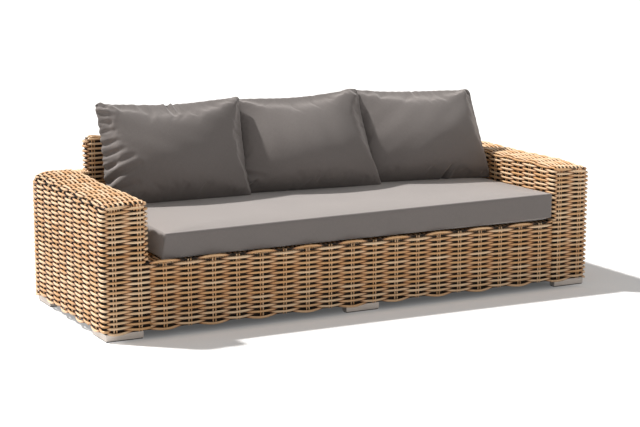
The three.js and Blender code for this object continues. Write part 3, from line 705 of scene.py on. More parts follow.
def deck_bundles(weave, seed):
    """The deck under the seat cushion: rows from rear to front that bend down behind the apron's top row,
    over stake pairs that run from arm to arm."""
    pitch = weave.pitch * DECK_PITCH
    count = int((2 * INNER_X - DECK_SIDE_GAP) / pitch)
    numbers = np.arange(count)[:, None]
    edge = FRONT_Y + weave.depth + DECK_EDGE
    straight = np.linspace(edge + DECK_BEND, BACK_FRONT_Y + RUN_ON, POINTS["deck row"])
    bend = np.linspace(QUARTER, 0, POINTS["deck bend"])[:-1]
    y = np.concatenate([[edge], edge + DECK_BEND * (1 - np.sin(bend)), straight])
    down = np.concatenate([[DECK_BEND + DECK_TAIL], DECK_BEND * (1 - np.cos(bend)), 0 * straight])
    stakes = FRONT_Y + DECK_FIRST + np.arange(DECK_STAKES) * STAKE_STEP["deck"]
    phase = (y - stakes[0]) / STAKE_STEP["deck"]
    calm = np.concatenate([[0], 0 * bend, smooth_step(straight, edge, edge + DECK_CALM)])
    depth = DECK_MIDDLE - DECK_SWING * np.cos(math.pi * (phase + numbers)) * calm
    xs = (numbers - (count - 1) / 2) * pitch
    lines = vectors(xs, y, DECK_TOP - depth - down)
    # Where the rows bend down behind the apron, they take less painted shade
    rows = Bundle(lines, Z_WAY, depth - DECK_SHADE_EASE * (1 - calm), weave.strand, X_WAY, seed)
    across = np.linspace(-INNER_X + END_GAP, INNER_X - END_GAP, POINTS["rod"])
    rods = vectors(across, stakes[:, None], DECK_TOP - DECK_MIDDLE)
    return [rows, sticks(rods, Z_WAY, DECK_MIDDLE, weave, seed + 1, Y_WAY)]


def back_corners():
    """The corners passed on the way round the upper back panel, from the middle of its rear."""
    x, near, far = BACK_END_X, BACK_FRONT_Y, REAR_Y
    return [(0, far), (-x, far), (-x, near), (x, near), (x, far), (0, far)]


def back_rings(weave, seed):
    """Closed rows round the upper back panel, drawn in towards the top by its rounded edge."""
    walk = rounded_walk(back_corners(), BACK_ROUND, WALL_STEP)
    xs, middle = inner_stakes(), (BACK_FRONT_Y + REAR_Y) / 2
    stakes = [(x, REAR_Y) for x in xs[MIDDLE_STAKE::-1]] + [(-BACK_END_X, middle)]
    stakes += [(x, BACK_FRONT_Y) for x in xs] + [(BACK_END_X, middle)]
    stakes += [(x, REAR_Y) for x in xs[:MIDDLE_STAKE:-1]]
    rows = row_ladder(ARM_TOP, RIM_TOP, weave.pitch)
    drawn_in = rounding(rows[0][:, None], BACK_TOP, BACK_ROUND)
    phase = stake_phase(walk, stakes, FIRST_STAKE["rings"])
    return woven_rows(walk, phase, rows, weave, seed, drawn_in)


def back_top_rows(weave, seed):
    """Rows along the back panel's top, bending down over its rounded ends."""
    rim = BACK_ROUND - rounding(RIM_TOP, BACK_TOP, BACK_ROUND)
    tilt = np.linspace(-1, 1, BACK_TOP_ROWS + 2)[1:-1, None] * math.asin(min(1, rim / BACK_ROUND))
    ny, nz = np.sin(tilt), np.cos(tilt)
    half_flat = (REAR_Y - BACK_FRONT_Y) / 2 - BACK_ROUND
    y = (BACK_FRONT_Y + REAR_Y) / 2 + BACK_ROUND * ny + half_flat * np.sign(tilt)
    z = BACK_TOP - BACK_ROUND * (1 - nz)
    bend = np.linspace(0, QUARTER, POINTS["back bend"])[1:]
    straight = np.linspace(-BACK_END_X + BACK_ROUND, BACK_END_X - BACK_ROUND, POINTS["back row"])
    right = BACK_END_X - weave.depth - BACK_ROUND + BACK_ROUND * np.sin(bend)
    down = BACK_ROUND * (1 - np.cos(bend))
    x = np.concatenate([-right[::-1], straight, right])
    down = np.concatenate([down[::-1], 0 * straight, down])
    phase = np.interp(x, inner_stakes(), np.arange(len(inner_stakes())))
    calm = smooth_step(BACK_END_X - np.abs(x), 0.0, BACK_CALM)
    numbers = np.arange(BACK_TOP_ROWS)[:, None]
    depth = weave.depth - weave.swing * np.cos(math.pi * (phase + numbers)) * calm
    lines = vectors(x, y - ny * depth, z - nz * depth - down)
    return Bundle(lines, vectors(0 * x, ny, nz), depth, weave.strand, Y_WAY, seed)


def shoulder_rows(weave, seed):
    """Short rows from front to rear over the two shoulders, where the back panel meets the arms."""
    xs = np.arange(BACK_END_X - SHOULDER_REACH, INNER_X + END_GAP, weave.pitch)
    xs = np.concatenate([-xs[::-1], xs])
    low, high = BACK_FRONT_Y + END_GAP, REAR_Y - END_GAP
    turn = np.linspace(-QUARTER, QUARTER, POINTS["shoulder"])
    y = (low + high) / 2 + (high - low) / 2 * np.sin(turn)
    z = ARM_TOP + SHOULDER_RISE - weave.strand / 2 - SHOULDER_FALL * (1 - np.cos(turn) ** 0.5)
    return Bundle(vectors(xs[:, None], y, z), Z_WAY, weave.strand / 2, weave.strand, X_WAY, seed)


def back_bundles(weave, seed):
    """All strands of the back panel: its front between the arms, its rings, its top and its shoulders."""
    x, top = INNER_X - END_GAP, BACK_TOP - weave.depth
    ends, rows = [(-x, BACK_FRONT_Y), (x, BACK_FRONT_Y)], row_ladder(DECK_ROWS, ARM_TOP, weave.pitch)
    return [wall_rows(ends, FIRST_STAKE["back"], rows, weave, seed),
            back_rings(weave, seed + 1), back_top_rows(weave, seed + 2), shoulder_rows(weave, seed + 3),
            upright_pairs(inner_stakes(), BACK_FRONT_Y + weave.depth, DECK_TOP, top, -1, weave, seed + 4)]


def rear_bundles(weave, seed):
    """The rows and the stake pairs of the rear, up to the arms' height and on up the back panel."""
    ends, rows = [(INNER_X, REAR_Y), (-INNER_X, REAR_Y)], row_ladder(0, ARM_TOP, weave.pitch)
    y, top = REAR_Y - weave.depth, BACK_TOP - weave.depth
    return [wall_rows(ends, FIRST_STAKE["rear"], rows, weave, seed, lift=bottom_wave),
            upright_pairs(inner_stakes(), y, STAKE_FOOT, top, 1, weave, seed + 1, POINTS["rear post"])]


class SOFA_OT_weave_body(bpy.types.Operator):
    """Weave the apron, the deck, the back panel and the rear"""
    bl_idname = "sofa.weave_body"
    bl_label = "Weave apron, deck and back"

    def execute(self, context):
        weave, x = context.scene.sofa_weave, INNER_X
        before = [(-x, FRONT_Y), (x, FRONT_Y)]
        within = [(-x, BACK_FRONT_Y), (x, BACK_FRONT_Y)]
        behind = [(x, REAR_Y), (-x, REAR_Y)]
        # Each woven piece gets dark sheets of painted shade inside its skin
        woven_piece("apron_strands", "front_apron_weave", apron_bundles(weave, 70),
                    [shade_sheet(before, 0, SHADE_SHEET_FOOT, DECK_TOP - SHADE_SHEET_DROP["apron"])])
        woven_piece("deck_strands", "seat_deck_weave", deck_bundles(weave, 80), [deck_shade_sheet()])
        woven_piece("back_strands", "back_weave", back_bundles(weave, 90),
                    [shade_sheet(within, 0, DECK_TOP, ARM_TOP),
                     shade_sheet(back_corners(), BACK_ROUND, ARM_TOP, BACK_TOP - SHADE_SHEET_DROP["back"])])
        woven_piece("rear_strands", "back_weave", rear_bundles(weave, 110),
                    [shade_sheet(behind, 0, SHADE_SHEET_FOOT, ARM_TOP)])
        return {"FINISHED"}


# Cushions

CLOTH_RULES = {"quality": 5, "mass": 0.3, "tension_stiffness": 15, "compression_stiffness": 15,
               "shear_stiffness": 8, "bending_stiffness": 0.35, "use_pressure": True,
               "vertex_group_shrink": "seam"}


def lattice_shell(nx, ny, nz):
    """The surface grid of a box: its points as shares from -1 to 1, outward quads, and each quad's axis.

    Six flat grids are laid on the faces of an integer lattice, and the points that they share are merged.
    """
    size = np.array([nx, ny, nz])
    corners, quads, axes, start = [], [], [], 0
    for axis in range(3):
        a, b = (axis + 1) % 3, (axis + 2) % 3
        i, j = np.meshgrid(np.arange(size[a] + 1), np.arange(size[b] + 1), indexing="ij")
        place = np.arange(i.size).reshape(i.shape)
        quad = np.stack([place[:-1, :-1], place[1:, :-1], place[1:, 1:], place[:-1, 1:]], -1).reshape(-1, 4)
        for end in (0, 1):
            grid = np.zeros(i.shape + (3,), int)
            grid[..., a], grid[..., b], grid[..., axis] = i, j, end * size[axis]
            corners.append(grid.reshape(-1, 3))
            quads.append(start + (quad if end else quad[:, ::-1]))
            axes.append(np.full(len(quad), axis))
            start += i.size
    lattice, where = np.unique(np.concatenate(corners), axis=0, return_inverse=True)
    return lattice / size * 2.0 - 1, where.ravel()[np.concatenate(quads)], np.concatenate(axes)


def lay_threads(mesh, flat, quads, axes):
    """A UV map in metres: each quad takes the two coordinates of the flat cover that its axis leaves."""
    layer = mesh.uv_layers.new(name="thread")
    x, y, z = np.moveaxis(flat[quads], 2, 0)
    first = np.where(axes[:, None] == 0, y, x)
    second = np.where(axes[:, None] == 2, y, z)
    layer.data.foreach_set("uv", np.stack([first, second], axis=2).astype(np.float32).ravel())


def vectors_of(mesh, what="co"):
    """The places of a mesh's points, or their normals, as an array."""
    values = np.zeros(len(mesh.vertices) * 3, np.float32)
    mesh.vertices.foreach_get(what, values)
    return values.reshape(-1, 3).astype(float)


def place_points(piece, points):
    """Puts an array of points into a mesh."""
    piece.data.vertices.foreach_set("co", points.astype(np.float32).ravel())
    piece.data.update()


def capped(moves, cap):
    """Moves, cut to the cap's length where they are longer."""
    far = np.linalg.norm(moves, axis=1, keepdims=True)
    return moves * np.minimum(1, cap / np.maximum(far, 1e-9))


def settle_cover(piece, seam, cushions, slack, seam_draw):
    """Lets the filling push the cover out by cloth simulation, and returns the settled points.

    The cloth is cut larger than the form by the slack and its seams shorter, so that it puckers along them.
    No point moves further than the cap.
    """
    before = vectors_of(piece.data)
    group = piece.vertex_groups.new(name="seam")
    group.add([int(k) for k in np.flatnonzero(seam)], 1.0, "ADD")
    cloth = piece.modifiers.new("filling", "CLOTH")
    for rule, value in CLOTH_RULES.items():
        setattr(cloth.settings, rule, value)
    cloth.settings.uniform_pressure_force = cushions.pressure
    cloth.settings.shrink_min = -slack
    cloth.settings.shrink_max = seam_draw
    cloth.settings.effector_weights.gravity = 0
    cloth.collision_settings.use_collision = False
    scene = bpy.context.scene
    for step in range(1, cushions.frames + 1):
        scene.frame_set(step)
    after = vectors_of(piece.evaluated_get(bpy.context.evaluated_depsgraph_get()).to_mesh())
    piece.modifiers.remove(cloth)
    piece.vertex_groups.clear()
    scene.frame_set(1)
    return before + capped(after - before, cushions.cap)


def finish_cover(piece, to_seam, material, slot, nodes):
    put_values(piece.data, "edge", to_seam)
    smooth = piece.modifiers.new("smooth", "SUBSURF")
    smooth.levels = smooth.render_levels = 1
    declare(piece, material, piece.name, slot, *nodes)


# Seat cushion

SEAT_LOW, SEAT_HIGH = box("seat_cushion_cover")
ZIP_REAR = box("seat_cushion_zip")[1][1]
SEAT_HALF = (SEAT_HIGH - SEAT_LOW) / 2
SEAT_MIDDLE = (SEAT_HIGH + SEAT_LOW) / 2
SEAT_CELLS = (124, 52, 8)
SEAT_EDGE = 0.005
SEAT_DRAW = 0.002
EDGE_POWER = 8
EASE_SHARE = 0.35
SEAT_SLACK = 0.012
SEAT_CAP = 0.006
SEAM_RISE = 0.0016
SEAM_WAY = np.array([1.0, 1, 0.6])
ZIP_PROUD = 0.0012
OVERHANG_RUN = 0.022
FAR_FROM_SEAM = 0.02
END_POWER = 6

# How far the seat cushion's top is crowned, and rises towards its right end; how far its front edge rises at
# the right and hangs at the left; how far the foot of its front hangs to one side and rises to the other over
# the deck's edge; how far its right end reaches the arm and the arm's front; how far its left foot spreads
SEAT_CROWN = 0.007
SEAT_RISE = 0.009
FRONT_RISE = 0.004
FRONT_HANG = 0.010
SEAT_SAG = 0.011
SEAT_REACH = (0.011, 0.019)
SEAT_SPREAD = 0.019


def seat_crown(x, y):
    """Height of the seat cushion's top above its plain edge: the crown, a share of each side's parabola,
    multiplied, the rise towards the right end, and what the front edge hangs at its left and rises at its
    right."""
    u = np.clip((x - SEAT_MIDDLE[0]) / SEAT_HALF[0], -1, 1)
    v = np.clip((y - SEAT_MIDDLE[1]) / SEAT_HALF[1], -1, 1)
    left, right, front = (1 - u) / 2, (1 + u) / 2, ((1 - v) / 2) ** 2
    crown = SEAT_CROWN * (1 - u * u) * (1 - v * v)
    return crown + SEAT_RISE * right + front * (FRONT_RISE * right - FRONT_HANG * left)


def seat_form(shares):
    """The seat cushion's points from shares: a block whose edges are drawn in, whose sides draw in towards
    their middle, and whose top is crowned. Its left end spreads at its foot, and its right end reaches the
    arm and the arm's front."""
    u, v, w = (np.sin(shares * QUARTER) * EASE_SHARE + shares * (1 - EASE_SHARE)).T
    half_z = SEAT_HALF[2] - SEAT_CROWN / 2
    near_x, near_y, near_z = abs(u) ** EDGE_POWER, abs(v) ** EDGE_POWER, abs(w) ** EDGE_POWER
    pull_x = SEAT_EDGE * np.maximum(near_y, near_z) * near_x + SEAT_DRAW * (1 - v * v) * near_x
    pull_y = SEAT_EDGE * np.maximum(near_x, near_z) * near_y + SEAT_DRAW * (1 - u * u) * near_y
    pull_z = SEAT_EDGE * np.maximum(near_x, near_y) * near_z
    x = SEAT_MIDDLE[0] + u * SEAT_HALF[0] - np.sign(u) * pull_x
    y = SEAT_MIDDLE[1] + v * SEAT_HALF[1] - np.sign(v) * pull_y
    z = SEAT_LOW[2] + half_z + w * half_z - np.sign(w) * pull_z + seat_crown(x, y) * (w + 1) / 2
    left, right = ((1 - u) / 2) ** END_POWER, ((1 + u) / 2) ** END_POWER
    x = x + SEAT_REACH[0] * right - SEAT_SPREAD * left * (1 - w) / 2
    y = y - SEAT_REACH[1] * ((1 + u) / 2) ** 2 * (1 - v) / 2
    return vectors(x, y, z)


class SOFA_OT_sew_seat_cushion(bpy.types.Operator):
    """Sew and fill the long seat cushion"""
    bl_idname = "sofa.sew_seat_cushion"
    bl_label = "Sew the seat cushion"

    def execute(self, context):
        shares, quads, axes = lattice_shell(*SEAT_CELLS)
        points = seat_form(shares)
        piece = make_mesh("seat_cushion", points, quads)
        lay_threads(piece.data, points, quads, axes)
        ends = abs(shares) > NEARLY_ALL
        band = ends[:, 2] & (ends[:, 0] | ends[:, 1])
        settled = settle_cover(piece, band, context.scene.sofa_cushions, SEAT_SLACK, 0.0)
        settled = points + capped(settled - points, SEAT_CAP)
        outward = np.sign(shares) * ends * SEAM_WAY
        settled += np.where(band[:, None], SEAM_RISE * outward, 0)
        settled[:, 1] = np.minimum(settled[:, 1], ZIP_REAR - ZIP_PROUD)
        settled[:, 2] = np.maximum(settled[:, 2], SEAT_LOW[2])
        overhang = smooth_step(SEAT_LOW[1] - settled[:, 1], -OVERHANG_RUN, 0.0) * (1 - shares[:, 2]) / 2
        settled[:, 2] += SEAT_SAG * overhang * shares[:, 0]
        place_points(piece, settled)
        to_seam = np.sort(np.where(ends, 0, (1 - abs(shares)) * SEAT_HALF), axis=1)[:, 1]
        to_seam = np.where(ends[:, 0] & ends[:, 1] & ~band, FAR_FROM_SEAM, to_seam)
        # The seat cloth is paler at low angles by a painted sheen
        finish_cover(piece, to_seam, cloth_material("seat cloth", painted_sheen=2.05, sheen=0.8), "seat_cover",
                     ("seat_cushion_cover", "seat_cushion_foam"))
        return {"FINISHED"}


# Back cushions

PILLOW_CELLS = (84, 1, 60)
PILLOW_SIZE = np.array([0.656, 0.18, 0.465])
PILLOW_HALF = PILLOW_SIZE / 2
PILLOW_SEAM = 0.006
PILLOW_LEAN = {"left": math.radians(16.5), "middle": math.radians(19), "right": math.radians(20.5)}
PILLOW_YAW = math.radians(4.78)
CROWN_POWER = 2.1
CROWN_FALL = 0.85
EAR_ROUND = 0.008
EAR_POWER = 12
SEAM_SHRINK = 0.3
FIT_POWERS = range(5)
UNEVEN_FILLING = 0.02
BUMP_WAVES = (7, 12, 21)
BUMP_SIZE = 0.9
FOOT_ROUND = 0.003
SEAT_GAP = 0.0005
ZIP_LEVEL_SHARE = -0.742
ZIP_HALF_SHARE = 0.64
ZIP_WIDTH = 0.0055
ZIP_OVAL = 0.42
ZIP_RISE = 0.0006

# Each back cushion after use, against a plain rectangle in its own plane, in metres: how far its lower left,
# lower right, upper left and upper right corners lie off to the right, to the rear and upwards, how far its
# left, right and upper edges draw in, how far its filling has sunk, as a share of half its height, by which
# share its cover is wider than its filling, and how many times as thick its front half is as it was sewn
OUTLINES = {
    "left": {"corners": ((0.015, 0, 0), (0.015, -0.006, -0.002), (0.009, 0, -0.014), (0.011, 0.008, -0.009)),
             "draw": (0.011, 0.013, 0.024), "sunk": 0.14, "slack": 0.03, "plump": 1.25},
    "middle": {"corners": ((0.015, -0.012, 0), (0.058, -0.045, -0.018), (0.024, -0.014, -0.022),
                           (0.016, 0, 0.002)),
               "draw": (0.010, 0.015, 0.024), "sunk": 0.33, "slack": 0.02, "plump": 1.6},
    "right": {"corners": ((0.035, -0.014, 0), (0.034, -0.046, -0.016), (0.026, -0.014, -0.010),
                          (0.006, -0.022, -0.034)),
              "draw": (0.010, 0.001, 0.012), "sunk": 0.26, "slack": 0.02, "plump": 1.5},
}

# Folds in a cushion's front: start and end as shares of its half width and height, depth and half width in
# metres. The first cushion lies against the arm, where its cover gathers.
FOLDS = {
    "left": (((-0.99, 0.96), (-0.80, 0.80), 0.013, 0.009), ((-0.99, 0.80), (-0.82, 0.66), 0.011, 0.008),
             ((-0.98, 0.60), (-0.86, 0.54), 0.007, 0.007), ((-0.97, 0.42), (-0.84, 0.40), 0.009, 0.007),
             ((-0.98, 0.18), (-0.80, 0.20), 0.010, 0.008), ((-0.98, -0.04), (-0.74, 0.04), 0.011, 0.008),
             ((-0.98, -0.28), (-0.64, -0.10), 0.012, 0.010), ((-0.98, -0.52), (-0.56, -0.26), 0.014, 0.011),
             ((-0.97, -0.74), (-0.60, -0.58), 0.015, 0.010), ((-0.90, -0.92), (-0.70, -0.76), 0.010, 0.009),
             ((-0.03, 0.99), (0.00, 0.76), 0.018, 0.009), ((0.06, 0.99), (0.07, 0.80), 0.012, 0.008),
             ((-0.42, 0.98), (-0.40, 0.84), 0.004, 0.012)),
    "middle": (((-0.86, -0.62), (-0.66, -0.68), 0.014, 0.009), ((-0.86, -0.92), (-0.68, -0.72), 0.014, 0.009),
               ((0.30, 0.99), (0.29, 0.88), 0.003, 0.010), ((-0.30, -0.98), (-0.28, -0.84), 0.003, 0.012),
               ((0.92, 0.20), (0.80, 0.16), 0.003, 0.010)),
    "right": (((0.06, 0.99), (0.05, 0.86), 0.007, 0.009), ((0.22, -0.98), (0.27, -0.76), 0.020, 0.010),
              ((0.95, 0.88), (0.86, 0.74), 0.004, 0.010)),
}


def used_outline(shares, side):
    """Where a used cushion's outline lies in its plane, carried on over its inside: the plain rectangle, the
    corners' moves weighed by their nearness, and edges that draw in by parabolas."""
    u, _, w = shares.T
    left, right, low, high = (1 - u) / 2, (1 + u) / 2, (1 - w) / 2, (1 + w) / 2
    nearness = np.stack([low * left, low * right, high * left, high * right], axis=1)
    draw_left, draw_right, draw_top = OUTLINES[side]["draw"]
    ear = EAR_ROUND * abs(u * w) ** EAR_POWER
    x = u * PILLOW_HALF[0] + (1 - w * w) * (draw_left * left - draw_right * right) - np.sign(u) * ear
    z = w * PILLOW_HALF[2] - (1 - u * u) * draw_top * high - np.sign(w) * ear
    return vectors(x, 0, z) + nearness @ np.array(OUTLINES[side]["corners"])


def pillow_form(shares, side):
    """A back cushion's points from shares, upright and unturned.

    Half the thickness is half the seam plus the crown times ((1 - |u|^p)(1 - |s|^p))^q, where s is the height
    share pushed up by a parabola, so that the crown lies low. The front is plumper by a factor.
    """
    u, v, w = shares.T
    half_seam = PILLOW_SEAM / 2
    level = w + OUTLINES[side]["sunk"] * (1 - w * w)
    bulge = ((1 - abs(u) ** CROWN_POWER) * (1 - abs(level) ** CROWN_POWER)) ** CROWN_FALL
    plump = np.where(v < 0, OUTLINES[side]["plump"], 1)
    points = used_outline(shares, side)
    points[:, 1] += np.sign(v) * (half_seam + (PILLOW_HALF[1] - half_seam) * bulge * plump)
    return points


def held_outline(shares, seam, points, side):
    """Settled points moved so that the seam keeps the used cushion's outline.

    What the seam lacks is fitted by least squares with products of powers of which one is the first or none,
    so that they follow from the edges alone. Fine puckers don't show in the fit, which all points follow.
    """
    u, _, w = shares.T
    terms = np.stack([u ** i * w ** j for i in FIT_POWERS for j in FIT_POWERS if min(i, j) < 2], axis=1)
    wanted = used_outline(shares, side)[seam] - points[seam]
    return points + terms @ np.linalg.lstsq(terms[seam], wanted, rcond=None)[0]


# A fold's ridge beside it, as a share of its depth and in its half widths away from it, and the share of its
# depth that a fold loses towards its far end
RIDGE_SHARE = 0.45
RIDGE_AWAY = 1.9
FOLD_FADE = 0.75

# The depth of the gathers along the seams, what the left end has more and over which shares of the way there,
# how long one gather is, how fast they fade inwards, and by which waves and by how much their length wanders
GATHER_DEPTH = 0.0008
GATHER_MORE = 0.0028
GATHER_RUN = (0.7, 0.98)
GATHER_LENGTH = 0.037
GATHER_FADE = 0.022
GATHER_WAVES = (23, 41)
GATHER_WANDER = 1.3


def fold_depth(shares, folds):
    """How deep each point is folded in: for each fold its depth times exp(-(distance/width)^2), where the
    distance is to the fold's line, and the depth fades towards the line's far end. Beside it the cover rises
    by a lower ridge of the same form."""
    half = PILLOW_HALF[[0, 2]]
    flat = shares[:, [0, 2]] * half
    total = np.zeros(len(shares))
    for start, end, depth, width in folds:
        a, b = np.array(start) * half, np.array(end) * half
        share = np.clip((flat - a) @ (b - a) / ((b - a) @ (b - a)), 0, 1)
        away = np.linalg.norm(flat - a - share[:, None] * (b - a), axis=1)
        beside = RIDGE_SHARE * np.exp(-((away - RIDGE_AWAY * width) / width) ** 2)
        total += depth * (1 - FOLD_FADE * share) * (np.exp(-(away / width) ** 2) - beside)
    return total


def uneven(points, draw):
    """Low bumps of a filling: the sum of three crossed waves, each with a drawn direction and start."""
    bumps = np.zeros(len(points))
    for wide in BUMP_WAVES:
        turn, way, across = draw.random(3) * 2 * math.pi
        along = points[:, 0] * math.cos(way) + points[:, 2] * math.sin(way)
        bumps += BUMP_SIZE / wide * np.sin(3 * wide * along + turn) * np.sin(wide * points[:, 2] + across)
    return bumps


def puckers(shares, draw):
    """Small gathers along the seam: waves along it that fade inwards over two centimetres."""
    away = (1 - abs(shares)) * PILLOW_HALF
    x, _, z = (shares * PILLOW_HALF).T
    along = np.where(away[:, 0] < away[:, 2], z, x)
    wander = sum(np.sin(wave * along + draw.random() * 6) for wave in GATHER_WAVES)
    near = np.exp(-away[:, [0, 2]].min(axis=1) / GATHER_FADE)
    return near * np.sin(2 * math.pi * along / GATHER_LENGTH + GATHER_WANDER * wander)


class SOFA_OT_sew_back_cushions(bpy.types.Operator):
    """Sew, fill and place the three back cushions with their zips"""
    bl_idname = "sofa.sew_back_cushions"
    bl_label = "Sew the back cushions"

    def execute(self, context):
        for side, seed in (("left", 3), ("middle", 5), ("right", 8)):
            self.sew(context.scene.sofa_cushions, side, seed)
        return {"FINISHED"}

    def sew(self, cushions, side, seed):
        """One cushion: its form, seeded unevenness, the cloth's settling, folds, lean, and its rest."""
        shares, quads, axes = lattice_shell(*PILLOW_CELLS)
        points = pillow_form(shares, side)
        name = f"{side}_back_cushion"
        piece = make_mesh(name, points, quads)
        lay_threads(piece.data, shares * PILLOW_HALF, quads, axes)
        draw = np.random.default_rng(seed)
        u, _, w = abs(shares).T
        inner = 1 - np.maximum(u, w) ** END_POWER
        bumps = UNEVEN_FILLING * uneven(points, draw) * inner
        place_points(piece, points + vectors_of(piece.data, "normal") * bumps[:, None])
        seam = (u > NEARLY_ALL) | (w > NEARLY_ALL)
        slack = OUTLINES[side]["slack"]
        settled = settle_cover(piece, seam, cushions, slack, SEAM_SHRINK * slack)
        place_points(piece, settled)
        gather = GATHER_DEPTH + GATHER_MORE * smooth_step(-shares[:, 0], *GATHER_RUN)
        sunk = fold_depth(shares, FOLDS[side]) * (shares[:, 1] < 0) + gather * puckers(shares, draw)
        settled = settled - vectors_of(piece.data, "normal") * sunk[:, None]
        placed = self.rest(side, held_outline(shares, seam, settled, side))
        place_points(piece, placed)
        to_seam = ((1 - abs(shares)) * PILLOW_HALF)[:, [0, 2]].min(axis=1)
        # The back cloth is paler at low angles by a painted sheen
        finish_cover(piece, np.where(seam, 0, to_seam), cloth_material("back cloth", painted_sheen=1.55, sheen=0.3),
                     "back_cover", (f"{name}_cover", f"{name}_filling"))
        self.sew_zip(name, side, shares, placed, vectors_of(piece.data, "normal"))

    def rest(self, side, points):
        """Turns a cushion back by its lean and about Z by the yaw, brings its rear to the back panel and
        presses its foot flat on the seat cushion."""
        low, high = box(f"{side}_back_cushion_cover")
        lean = PILLOW_LEAN[side]
        turn = Matrix.Rotation(-PILLOW_YAW, 3, "Z") @ Matrix.Rotation(-lean, 3, "X")
        placed = points @ np.array(turn).T
        placed[:, 0] += (low[0] + high[0]) / 2
        placed[:, 2] += high[2] - (PILLOW_SIZE[2] * math.cos(lean) + PILLOW_SEAM * math.sin(lean)) / 2
        placed[:, 1] += BACK_FRONT_Y - TOUCH_GAP - placed[placed[:, 2] < BACK_TOP, 1].max()
        seat = SEAT_HIGH[2] - SEAT_CROWN + seat_crown(placed[:, 0], placed[:, 1]) + SEAT_GAP
        above = placed[:, 2] - seat
        placed[:, 2] = seat + 0.5 * (above + np.sqrt(above ** 2 + FOOT_ROUND ** 2))
        return placed

    def sew_zip(self, name, side, shares, placed, normals):
        """The zip: a flat strand on the cover's rear, along one level of its grid."""
        rear = np.flatnonzero(shares[:, 1] > 0)
        column, _, row = np.rint((shares[rear] + 1) / 2 * np.array(PILLOW_CELLS)).astype(int).T
        grid = np.zeros((PILLOW_CELLS[0] + 1, PILLOW_CELLS[2] + 1), int)
        grid[column, row] = rear
        level = (ZIP_LEVEL_SHARE + 1) / 2 * PILLOW_CELLS[2]
        below, part = int(level), level - int(level)
        kept = abs(np.linspace(-1, 1, PILLOW_CELLS[0] + 1)) < ZIP_HALF_SHARE
        near, far = grid[kept, below], grid[kept, below + 1]
        normal = (1 - part) * normals[near] + part * normals[far]
        line = (1 - part) * placed[near] + part * placed[far] + ZIP_RISE * normal
        bundle = Bundle(line[None], normal[None], 0.0, ZIP_WIDTH, Y_WAY, 4, oval=ZIP_OVAL)
        piece = make_mesh(f"{side}_back_zip", *strand_surface(bundle)[:2])
        declare(piece, hard_material("zip"), name, "zip", f"{name}_zip")


# Materials

def made_once(store, name):
    """Marks a maker of a datablock: the first call makes it, and later calls find it by its name."""
    def mark(make):
        @functools.wraps(make)
        def found_or_made():
            return getattr(bpy.data, store).get(name) or make()
        return found_or_made
    return mark


class Graph:
    """Short words for placing and joining shader nodes in one tree."""

    def __init__(self, tree):
        self.tree = tree

    def join(self, node, links):
        """Sets a node's inputs by name or number, to a value or to another node's socket."""
        for key, value in links.items():
            if isinstance(value, bpy.types.NodeSocket):
                self.tree.links.new(value, node.inputs[key])
            else:
                node.inputs[key].default_value = value

    def add(self, kind, links=None, **settings):
        """A node of a kind, with its settings and its inputs."""
        node = self.tree.nodes.new(kind)
        for key, value in settings.items():
            setattr(node, key, value)
        self.join(node, links or {})
        return node

    def math(self, operation, first, second=0.0):
        return self.add("ShaderNodeMath", {0: first, 1: second}, operation=operation).outputs[0]

    def times(self, first, second):
        return self.math("MULTIPLY", first, second)

    def spread(self, value, low, high, to_low=0.0, to_high=1.0):
        """Maps a value between two limits to two others, smoothly and clamped."""
        limits = {"Value": value, "From Min": low, "From Max": high, "To Min": to_low, "To Max": to_high}
        return self.add("ShaderNodeMapRange", limits, interpolation_type="SMOOTHSTEP").outputs["Result"]

    def noise(self, vector, scale, detail=2.0, rough=0.5):
        inputs = {"Vector": vector, "Scale": scale, "Detail": detail, "Roughness": rough}
        return self.add("ShaderNodeTexNoise", inputs).outputs["Fac"]

    def streaks(self, vector, scale, detail, rough=0.5):
        """Noise whose coordinates are first scaled by a vector."""
        stretched = self.add("ShaderNodeMapping", {"Vector": vector, "Scale": scale}).outputs["Vector"]
        return self.noise(stretched, 1.0, detail, rough)

    def blend(self, share, first, second, kind="MIX"):
        """Two colours, each a socket or three numbers, mixed or multiplied by a share."""
        node = self.add("ShaderNodeMix", data_type="RGBA", blend_type=kind)
        first, second = ((*color, 1) if isinstance(color, tuple) else color for color in (first, second))
        self.join(node, {"Factor": share, 6: first, 7: second})
        return node.outputs[2]

    def tinted(self, share, color, tint):
        """A colour that takes a tint by a share."""
        return self.blend(share, color, self.blend(1.0, color, tint, "MULTIPLY"))

    def grey(self, value):
        return self.add("ShaderNodeCombineColor", {0: value, 1: value, 2: value}).outputs[0]

    def attribute(self, name, output="Fac"):
        return self.add("ShaderNodeAttribute", attribute_name=name).outputs[output]


SOCKETS = {"c": "NodeSocketColor", "f": "NodeSocketFloat", "v": "NodeSocketVector"}


def new_finish(name, inputs):
    """An empty shader node group with the given inputs, whose outputs are Color, Roughness and Height."""
    group = bpy.data.node_groups.new(name, "ShaderNodeTree")
    for label, kind, value in inputs:
        socket = group.interface.new_socket(label, in_out="INPUT", socket_type=SOCKETS[kind])
        if value is not None:
            socket.default_value = (*value, 1) if kind == "c" else value
    for label, kind in (("Color", "c"), ("Roughness", "f"), ("Height", "f")):
        group.interface.new_socket(label, in_out="OUTPUT", socket_type=SOCKETS[kind])
    graph = Graph(group)
    return group, graph, graph.add("NodeGroupInput").outputs


def new_material(name):
    """An empty material with its graph and its Principled shader joined to the output."""
    material = bpy.data.materials.new(name)
    material.use_nodes = True
    material.node_tree.nodes.clear()
    graph = Graph(material.node_tree)
    shader = graph.add("ShaderNodeBsdfPrincipled")
    graph.add("ShaderNodeOutputMaterial", {"Surface": shader.outputs["BSDF"]})
    return material, graph, shader


